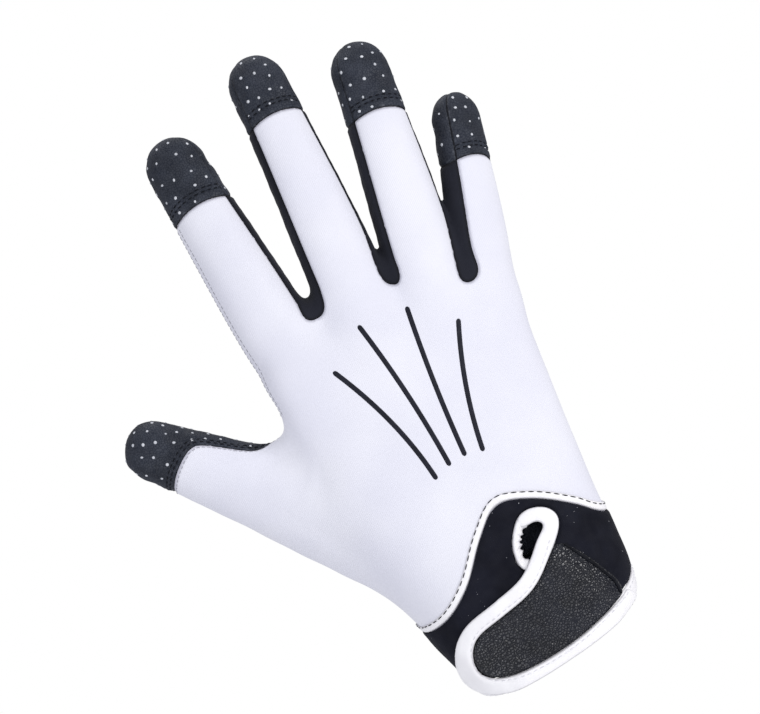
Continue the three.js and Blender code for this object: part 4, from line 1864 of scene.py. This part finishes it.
    def shaping_of(self, name: str) -> Shaping:
        """How a panel's surface rises and falls.

        Args:
            name: the panel's name.

        Returns:
            Its shaping: the seam's valley, the stitched channels and the cloth's unevenness.
        """
        depth = 0.35 if name.startswith("cap") else self.seam_depth

        def shaping(points: Array, normals: Array, border: Array) -> Array:
            """The height at each point."""
            valley = -depth * (1 - ease(0.0, self.seam_width, border)) ** 1.5
            if name == "back_cloth":
                return valley + 0.2 * ripple(points, 9.0, 3) * ease(1.0, 8.0, border) + self.folds(points)
            if name.startswith("side"):
                return valley + 0.12 * ripple(points, 3.0, 5)
            swell = (0.16 * ripple(points, 4.0, 8) + 0.06 * ripple(points, 1.6, 9)) * ease(0.4, 3.0, border)
            rows = self.rows_of(name)
            if rows:
                away = distance_to(self.skins["back_cloth"].rim(), points)
                for row in rows:
                    swell -= 0.42 * np.exp(-(((away - row) / 0.48) ** 2))
                swell += 0.22 * np.exp(-(((away - sum(rows) / 2) / 0.5) ** 2))
            return valley + swell

        return shaping

    def folds(self, points: Array) -> Array:
        """The back cloth's faint pulls from the thumb's root.

        Args:
            points: the points.

        Returns:
            The height at each point.
        """
        start = np.array([-42.0, 96.0])
        away = points[:, [0, 2]] - start
        reach = np.linalg.norm(away, axis=1)
        angle = np.arctan2(away[:, 1], away[:, 0])
        wave = np.sin(angle * 5.0 + 1.4 * np.sin(angle * 3.0) + 0.04 * reach)
        fade = ease(2.0, 12.0, reach) * (1 - ease(16.0, 44.0, reach)) * ease(8.0, 2.0, points[:, 1])
        return 0.13 * wave * fade

    def dress(self) -> None:
        white, black, grip = WHITE_KNIT.material(), BLACK_KNIT.material(), GRIP.material()
        dress(self.skins["back_cloth"].piece, white, Slot.CLOTH, "back_panel")
        dress(self.skins["palm_leather"].piece, grip, Slot.GRIP, "palm_panel")
        dress(self.skins["thumb_leather"].piece, grip, Slot.GRIP, "thumb_panel")
        for name in FINGERS:
            dress(self.skins[f"cap_{name}"].piece, grip, Slot.GRIP, f"fingertip_cap_{name}")
        for name, following in GAPS:
            dress(self.skins[f"side_strip_{name}"].piece, black, Slot.SIDE, f"side_strip_{name}_{following}")
        for name, skin in self.skins.items():
            CUTS[name].declare(skin.piece)


def rim_height(points: Array) -> Array:
    """Height of points above the plane of the wrist opening."""
    normal = unit(np.array([-math.tan(RIM_SLANT), -math.tan(RIM_DROP), 1.0]))
    return points @ normal


def cuff_drop(points: Array) -> Array:
    """How far points lie below the cuff's top edge, which differs over the back and the palm.

    Args:
        points: the points.

    Returns:
        A distance for each point.
    """
    back, front = cuff_line(CUFF_EDGE_BACK), cuff_line(CUFF_EDGE_PALM)
    x, y, z = points.T
    share = ease(-5.0, 5.0, y)
    edge = np.interp(x, back[:, 0], back[:, 1]) * (1 - share) + np.interp(x, front[:, 0], front[:, 1]) * share
    slope = np.gradient(back[:, 1], back[:, 0])
    steep = np.sqrt(1 + np.interp(x, back[:, 0], slope) ** 2)
    return (edge - z) / (steep * (1 - share) + share)


def crown(share: Array) -> Array:
    """The round height of padding, from -1 at its border, share 0, to 0.6 where it is full, share 1."""
    return np.sqrt(1 - (1 - np.clip(share, 0.0, 1.0)) ** 2) * 1.6 - 1.0


@dataclass
class Cuff:
    """The neoprene cuff, its trim and the strap that closes over its slit."""

    form: HandForm
    gap: float = 0.3
    skins: dict[str, Skin] = field(default_factory=dict)

    def base(self) -> tuple[Array, Array]:
        """The skin's points and quads at the wrist."""
        points, quads = self.form.skin(CUFF_CELL, CUFF_HEIGHT + 30.0)
        return used_only(points, quads[points[quads][:, :, 2].max(axis=1) < CUFF_HEIGHT + 18.0])

    def fields(self, points: Array) -> dict[str, Array]:
        """The values that divide the cuff's layers.

        Args:
            points: the skin's points.

        Returns:
            A value at each point under each name, in millimetres.
        """
        drop, height = cuff_drop(points), rim_height(points)
        flat = points[:, [0, 2]]
        front = points[:, 1] > 0
        face = self.face_distance(points)
        slit = outline_distance(flat, cuff_line(SLIT_EDGE, True))
        turn = self.turn_round_hole(points)
        width = SLIT_BINDING_WIDTH + 1.1 * ease(150.0, 80.0, turn) * ease(-120.0, -50.0, turn)
        corner = cuff_line(STRAP_EDGE)[0]
        seam = cuff_line(STRAP_SEAM)
        out_of_strap = unit(seam[-1] - seam[-4])[::-1] * np.array([1.0, -1.0])
        tape = np.minimum(face - self.gap, self.gap + STRAP_BINDING_WIDTH - face)
        tape = np.minimum(tape, (corner - flat) @ out_of_strap)
        arm = soft_min(turn + 75.0, 118.0 - turn, 4.0) * 0.18
        over = np.minimum(np.minimum(slit + 0.2, width - slit), arm)
        clear = slit - width - self.gap
        on_back = {"slit": slit, "slit_tape": slit - width, "slit_clear": clear, "face": face}
        return {
            "piping_top": drop - self.gap,
            "band_top": drop - self.gap * 2 - PIPING_WIDTH,
            "piping_low": drop - self.gap - PIPING_WIDTH,
            "rim": height,
            "hem": height - HEM_WIDTH,
            "band_low": height - HEM_WIDTH - self.gap,
            "tape": np.where(front, -BEYOND, soft_max(tape, over, 1.5)),
        } | {name: np.where(front, BEYOND, value) for name, value in on_back.items()}

    def turn_round_hole(self, points: Array) -> Array:
        """The way from the slit's middle to points, in degrees from the little finger's side up."""
        return np.degrees(np.arctan2(points[:, 2] - SLIT_MIDDLE[1], points[:, 0] - SLIT_MIDDLE[0]))

    def face_distance(self, points: Array) -> Array:
        """Distance of points from the strap face's outline, seen from the back."""
        outline = np.concatenate([cuff_line(STRAP_EDGE), cuff_line(STRAP_SEAM)])
        return outline_distance(points[:, [0, 2]], outline)

    def seam_distance(self, points: Array) -> Array:
        """How far points lie beyond the strap's seam, square to it."""
        seam = cuff_line(STRAP_SEAM)
        run = unit(seam[-1] - seam[0])
        slope = abs(run[1])
        return (points[:, 0] - np.interp(points[:, 2], seam[:, 1], seam[:, 0])) * slope

    def cut(self, name: str, sides: dict[str, int], **making: object) -> None:
        """Cuts one piece from the wrist's skin and lays it on the form.

        Args:
            name: the piece's name.
            sides: the fields that bound it, each with the sign that it has in the piece.
            **making: what soft_piece takes of its level, wall, levels and shaping.
        """
        work = Patchwork(self.points, self.quads, self.values)
        for field_name in sides:
            work.split(field_name)
        found = work.of_faces()
        chosen = np.all([found[field_name] * sign > 0 for field_name, sign in sides.items()], axis=0)
        work.smooth_seams(chosen.astype(int), self.form, 6)
        self.skins[name] = soft_piece(name, self.form, *largest(*work.piece(chosen)), **making)

    def build(self) -> None:
        """Makes the cuff's pieces."""
        self.points, self.quads = self.base()
        self.values = self.fields(self.points)
        self.cut(
            "cuff_neoprene", {"band_top": 1, "band_low": 1, "slit_clear": 1},
            level=CUFF_RISE, wall=CUFF_WALL, levels=1, shaping=self.rounded(0.5, 1.2, 0.12),
        )
        self.cut(
            "piping_tape", {"piping_top": 1, "piping_low": -1},
            level=0.5, wall=0.45, levels=2, shaping=self.puffed(0.3, 1.2),
        )
        self.cut(
            "rim_hem", {"rim": 1, "hem": -1},
            level=CUFF_RISE, wall=CUFF_WALL, levels=2, shaping=self.puffed(0.5, 2.4),
        )
        self.cut(
            "slit_edging", {"slit": 1, "slit_tape": -1, "band_low": 1},
            level=CUFF_RISE, wall=CUFF_WALL, levels=2, shaping=self.gathered, drawn=self.drawn_back,
        )
        strap_level = CUFF_RISE + self.gap + STRAP_THICKNESS
        self.cut(
            "strap_face", {"face": -1, "rim": 1},
            level=strap_level - 0.3, wall=1.0, levels=2, shaping=self.strap_shape,
        )
        self.cut(
            "strap_tape", {"tape": 1, "rim": 1},
            level=strap_level, wall=STRAP_THICKNESS - 0.3, levels=2, shaping=self.tape_shape,
        )

    def rounded(self, depth: float, width: float, swell: float) -> Shaping:
        """A shaping whose edges fall away and whose face swells slightly."""
        return lambda points, normals, border: (
            swell * ripple(points, 7.0, 12) * ease(0.5, 4.0, border)
            - depth * (1 - ease(0.0, width, border)) ** 1.5
        )

    def puffed(self, height: float, width: float) -> Shaping:
        """A shaping that is full in the middle and thin at its edges."""
        return lambda points, normals, border: (
            height * crown(border / width) + 0.05 * ripple(points, 2.5, 14)
        )

    def strap_shape(self, points: Array, normals: Array, border: Array) -> Array:
        """The strap's face, which thins towards its seam."""
        edge = self.rounded(0.45, 1.4, 0.1)(points, normals, border)
        return edge - 1.15 * ease(-8.0, -0.5, self.seam_distance(points))

    def tape_shape(self, points: Array, normals: Array, border: Array) -> Array:
        """The strap's padded tape, which sinks into the slit's binding over the top of the slit."""
        turn = self.turn_round_hole(points)
        sink = np.where(points[:, 2] > 26.0, 1.75 * ease(-25.0, 112.0, turn) * (turn > -60.0), 0.0)
        row = self.face_distance(points) - self.gap
        channel = 0.22 * np.exp(-(((row - 1.3) / 0.45) ** 2)) * (turn < -35.0)
        end = 1.5 * ease(21.0, 31.0, points[:, 0])
        return self.puffed(0.6, 2.2)(points, normals, border) - channel - sink - end

    def gathered(self, points: Array, normals: Array, border: Array) -> Array:
        """The slit's binding, full in the middle and gathered round its turns."""
        return 0.7 * crown(border / 1.6) - 0.75 * self.pleats(points)

    def pleats(self, points: Array) -> Array:
        """How deep each point lies between two gathers of the slit's binding, from 0 to 1."""
        angle = np.radians(self.turn_round_hole(points))
        inward = 1 - ease(0.2, 2.7, outline_distance(points[:, [0, 2]], cuff_line(SLIT_EDGE, True)))
        return np.abs(np.sin(angle * 6.0 + 1.1 * np.sin(angle * 2))) * inward

    def drawn_back(self, points: Array) -> Array:
        """How the gathers draw the slit's edge back from the hole."""
        away = points - GATHER_MIDDLE
        away[:, 1] = 0.0
        return unit(away) * 0.95 * self.pleats(points)[:, None]

    def dress(self) -> None:
        """Gives the cuff's pieces their finishes."""
        tape = TAPE.material()
        dress(self.skins["cuff_neoprene"].piece, CUFF_NEOPRENE.material(), Slot.NEOPRENE, "cuff_band")
        dress(self.skins["strap_face"].piece, STRAP_FACE.material(), Slot.STRAP, "strap_tab")
        for name, node in TAPES.items():
            dress(self.skins[name].piece, tape, Slot.TAPE, node)


@dataclass
class Trim:
    """The small things on the panels and the cuff: grip dots, stitches, seam lines and the printed fan."""

    form: HandForm
    panels: HandPanels
    cuff: Cuff
    pitch: float = 5.6
    dot_width: float = 1.15
    dot_height: float = 0.5
    least_apart: float = 4.0
    stray: float = 0.5
    from_border: float = 1.1
    fan_width: float = 2.1
    fan_rise: float = 0.14
    side_rows: tuple[float, float] = (66.0, 84.0)
    palm_start: tuple[float, float, float] = (-90.0, 60.0, 26.0)
    palm_reach: tuple[float, float] = (150.0, 140.0)

    def build(self) -> None:
        """Makes the dots, the stitches and the fan."""
        self.dots = self.dot_field()
        self.black = Scatter("black_stitches")
        self.white = Scatter("white_stitches")
        self.grey = Scatter("seam_stitches")
        self.sew_leather()
        self.sew_cloth()
        self.sew_cuff()
        self.fan = self.fan_lines()

    def digit_spots(self, digit: Digit, angles: tuple[float, float]) -> Iterable[tuple[Array, Array]]:
        """Lines of sight to a staggered lattice over a digit.

        Args:
            digit: the digit.
            angles: the part of its girth that is covered, in degrees from its back.

        Returns:
            A start and a way to look for each spot.
        """
        foot = digit.end * digit.shape.length
        reach = foot + digit.dome * math.pi / 2
        rows = int(reach / self.pitch)
        for row in range(rows):
            along = reach - 2.2 - row * self.pitch * 0.92
            climb = max(along - foot, 0.0) / digit.dome
            girth = digit.shape.width / 2 * math.cos(climb)
            step = math.degrees(self.pitch / max(girth, 1.6))
            shift = step / 2 if row % 2 else 0.0
            for i in range(int((angles[1] - angles[0]) / step) + 1):
                yield digit.ray(along, angles[0] + shift + i * step)

    def dot_field(self) -> Piece:
        """Puts the grip dots on all leather panels.

        Returns:
            The dots, joined.
        """
        scatter = Scatter("grip_dots", 8, 6)
        draw = np.random.default_rng(17)
        placed: list[Array] = []

        def put(skin: Skin, start: Array, way: Array, clear: float = self.from_border) -> None:
            """Adds a dot where a line of sight meets a skin, unless it is crowded there."""
            found = skin.hit(start + draw.normal(0.0, self.stray, 3), way)
            if found is None:
                return
            place, normal = found
            if placed and np.linalg.norm(np.array(placed) - place, axis=1).min() < self.least_apart:
                return
            if np.linalg.norm(rims[skin.piece.name] - place, axis=1).min() < clear:
                return
            placed.append(place)
            heading = np.cross(normal, [0.31, 0.2, 0.93])
            wide, long = self.dot_width * draw.uniform(0.7, 1.15, 2)
            scatter.put(place, normal, heading, (long, wide, self.dot_height))

        skins = self.panels.skins
        rims = {skin.piece.name: skin.rim() for skin in skins.values()}
        for name in FINGERS:
            digit = self.form.digits[name]
            for start, way in self.digit_spots(digit, (-100.0, 100.0)):
                put(skins[f"cap_{name}"], start, way)
            for start, way in self.digit_spots(digit, (80.0, 280.0)):
                put(skins["palm_leather"], start, way)
        for start, way in self.digit_spots(self.form.digits["thumb"], (0.0, 360.0)):
            put(skins["thumb_leather"], start, way, 2.6)
        for row in range(int(self.palm_reach[1] / self.pitch)):
            for i in range(int(self.palm_reach[0] / self.pitch)):
                step = np.array([(i + row % 2 / 2) * self.pitch, 0.0, row * self.pitch])
                put(skins["palm_leather"], self.palm_start + step, np.array([0, -1.0, 0]))
        return scatter.made()

    def sew_leather(self) -> None:
        """Sews the double rows along the caps' hems and the thumb's leather."""
        skins = self.panels.skins
        rim = skins["back_cloth"].rim()
        for name in (*(f"cap_{name}" for name in FINGERS), "thumb_leather"):
            away = distance_to(rim, skins[name].points)
            for row in self.panels.rows_of(name):
                LEATHER_STITCH.sew(self.black, contours(skins[name], away, row))

    def sew_cloth(self) -> None:
        """Sews the fine lines along the outer side of the index finger and under the thumb's leather."""
        cloth = self.panels.skins["back_cloth"]
        index = self.form.digits["index"].local(cloth.points)
        side = np.degrees(np.arctan2(-index.across, index.outward))
        side = np.where((index.distance < 8.0) & (index.across < 0), side, -90.0)

        def outer(place: Array) -> bool:
            """Whether a place lies on the index finger's own length."""
            return 112.0 < place[2] < 200.0 and place[0] < -34.0

        for angle in self.side_rows:
            FINE_STITCH.sew(self.grey, contours(cloth, side, angle), outer)
        lines = contours(cloth, distance_to(self.panels.skins["thumb_leather"].rim(), cloth.points), 1.1)
        FINE_STITCH.sew(self.grey, lines, lambda place: place[0] > -92.0 and place[1] < 9.0)

    def sew_cuff(self) -> None:
        """Sews the piping, the tapes and the strap's seam."""
        skins = self.cuff.skins
        piping = skins["piping_tape"]
        PIPING_STITCH.sew(self.black, contours(piping, cuff_drop(piping.points), 0.72))
        tape = skins["strap_tape"]
        face = self.cuff.face_distance(tape.points)
        rows = [path for path in contours(tape, face, 1.6) if path.points[:, 2].mean() < 32.0]
        TAPE_STITCH.sew(self.white, rows, lambda place: place[0] < 15.0 or place[2] < 26.0)
        hem = skins["rim_hem"]
        TAPE_STITCH.sew(self.white, contours(hem, rim_height(hem.points), HEM_WIDTH - 1.4))
        strap = skins["strap_face"]
        STRAP_STITCH.sew(self.black, contours(strap, self.cuff.seam_distance(strap.points), -0.5))

    def fan_lines(self) -> Piece:
        """Lays the four printed lines that fan out over the back of the hand.

        Returns:
            The lines, joined.
        """
        cloth = self.panels.skins["back_cloth"]
        points: list[Array] = []
        faces: list[list[int]] = []
        across = np.linspace(-1.0, 1.0, 7)
        for start, bend, end in FAN:
            shares = (1 - np.cos(np.linspace(0, math.pi, 48)))[:, None] / 2
            line, _ = arc(shares, start, bend, end)
            heading = unit(np.gradient(line, axis=0))
            side = np.stack([heading[:, 1], -heading[:, 0]], axis=1)
            first = len(points)
            run = np.concatenate([[0.0], np.cumsum(np.linalg.norm(np.diff(line, axis=0), axis=1))])
            to_end = np.minimum(np.minimum(run, run[-1] - run) / (self.fan_width / 2), 1.0)
            taper = np.sqrt(1 - (1 - to_end) ** 2 * 0.97)
            for centre, aside, share in zip(line, side, taper):
                for step in across:
                    spot = centre + aside * step * share * self.fan_width / 2
                    found = cloth.hit(np.array([spot[0], -60.0, spot[1]]), np.array([0, 1.0, 0]))
                    place, normal = found or (np.array([spot[0], -20.0, spot[1]]), np.array([0, -1.0, 0]))
                    rise = self.fan_rise if abs(step) < 0.99 else -0.15
                    points.append(place + normal * rise)
            wide = len(across)
            for i in range(len(line) - 1):
                for j in range(wide - 1):
                    corner = first + i * wide + j
                    faces.append([corner, corner + 1, corner + wide + 1, corner + wide])
        piece = mesh_object("back_fan", np.array(points), faces)
        if sum(face.normal.y for face in piece.data.polygons) > 0:
            piece.data.flip_normals()
        apply_modifier(piece, "SOLIDIFY", thickness=0.12 * MM, offset=-1.0, use_rim=True)
        shade(piece, 40.0)
        return piece

    def dress(self) -> None:
        """Gives the trim its finishes."""
        dress(self.dots, RUBBER_DOT.material(), Slot.GRIP)
        dress(self.black.made(), BLACK_THREAD.material(), Slot.SIDE)
        dress(self.white.made(), WHITE_THREAD.material(), Slot.TAPE)
        dress(self.grey.made(), GREY_THREAD.material(), Slot.CLOTH)
        dress(self.fan, FAN_PRINT.material(), Slot.CLOTH)


@dataclass
class Studio:
    """The camera, the lights, the pale floor and the white surround."""

    target: tuple[float, float, float] = (-7.0, -8.0, 114.0)
    distance: float = 950.0
    view_width: float = 262.2
    turn: float = 28.0
    sensor: float = 36.0
    floor_drop: float = 150.0
    floor_radius: float = 300.0

    def build(self) -> None:
        """Sets the studio up."""
        self.camera()
        self.floor()
        self.surround()
        self.light("key", (580.0, -600.0, 170.0), 420.0, 4.0, (1.0, 0.985, 0.97))
        self.light("fill", (-520.0, -560.0, -20.0), 620.0, 1.85, (0.95, 0.96, 1.0))
        self.light("top", (60.0, 160.0, 760.0), 500.0, 1.6, (1.0, 1.0, 1.0))
        bpy.context.scene.view_settings.view_transform = "Standard"

    def camera(self) -> None:
        """Makes the camera, which looks square at the hand's back and is turned until the hand leans."""
        turn = math.radians(self.turn)
        right = Vector((math.cos(turn), 0.0, -math.sin(turn)))
        up = Vector((math.sin(turn), 0.0, math.cos(turn)))
        back = Vector((0.0, -1.0, 0.0))
        place = Vector(self.target) + back * self.distance
        data = bpy.data.cameras.new("camera")
        data.sensor_width = self.sensor
        data.lens = self.sensor * self.distance / self.view_width
        made = bpy.data.objects.new("camera", data)
        axes = Matrix((right, up, back)).transposed().to_4x4()
        made.matrix_world = Matrix.Translation(place * MM) @ axes
        bpy.context.collection.objects.link(made)
        bpy.context.scene.camera = made

    def floor(self) -> None:
        """Makes the pale floor under the glove."""
        bpy.ops.object.select_all(action="DESELECT")
        bpy.ops.mesh.primitive_circle_add(vertices=96, radius=self.floor_radius * MM, fill_type="NGON")
        disc = bpy.context.object
        disc.name = "floor"
        disc.location = (0, 0, -self.floor_drop * MM)
        bpy.ops.object.transform_apply(location=True)
        sheet = Sheet("pale_floor")
        tone = sheet.clouds(sheet.noise(60.0), 0.3, 0.7, (0.84, 0.84, 0.85), (0.8, 0.8, 0.81))
        sheet.set(Base_Color=tone, Roughness=0.8)
        disc.data.materials.append(sheet.material)

    def surround(self) -> None:
        """Makes the white surround, which lights the glove less than it shows."""
        world = bpy.data.worlds.new("surround")
        bpy.context.scene.world = world
        world.use_nodes = True
        tree = world.node_tree
        tree.nodes.clear()
        seen, lit = (tree.nodes.new("ShaderNodeBackground") for _ in range(2))
        seen.inputs["Color"].default_value = (1, 1, 1, 1)
        lit.inputs["Color"].default_value = (0.95, 0.95, 1.0, 1)
        lit.inputs["Strength"].default_value = 0.6
        path, mix = tree.nodes.new("ShaderNodeLightPath"), tree.nodes.new("ShaderNodeMixShader")
        out = tree.nodes.new("ShaderNodeOutputWorld")
        tree.links.new(path.outputs["Is Camera Ray"], mix.inputs["Fac"])
        tree.links.new(lit.outputs["Background"], mix.inputs[1])
        tree.links.new(seen.outputs["Background"], mix.inputs[2])
        tree.links.new(mix.outputs["Shader"], out.inputs["Surface"])

    def light(self, name: str, place: Spot, width: float, power: float, colour: Colour) -> None:
        """Adds a soft square light that faces the glove.

        Args:
            name: its name.
            place: where it stands, in millimetres.
            width: its width in millimetres.
            power: its power in watts.
            colour: its colour.
        """
        data = bpy.data.lights.new(name, "AREA")
        data.size = width * MM
        data.energy = power
        data.color = colour
        made = bpy.data.objects.new(name, data)
        turn = (Vector(self.target) - Vector(place)).to_track_quat("-Z", "Y")
        made.matrix_world = Matrix.Translation(Vector(place) * MM) @ turn.to_matrix().to_4x4()
        bpy.context.collection.objects.link(made)


def main() -> None:
    """Builds the studio and the glove."""
    logging.basicConfig(level=logging.INFO, format="%(asctime)s %(message)s")
    Studio().build()
    form = HandForm()
    panels = HandPanels(form)
    panels.build()
    panels.dress()
    cuff = Cuff(form)
    cuff.build()
    cuff.dress()
    trim = Trim(form, panels, cuff)
    trim.build()
    trim.dress()
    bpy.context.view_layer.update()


if __name__ == "__main__":
    main()
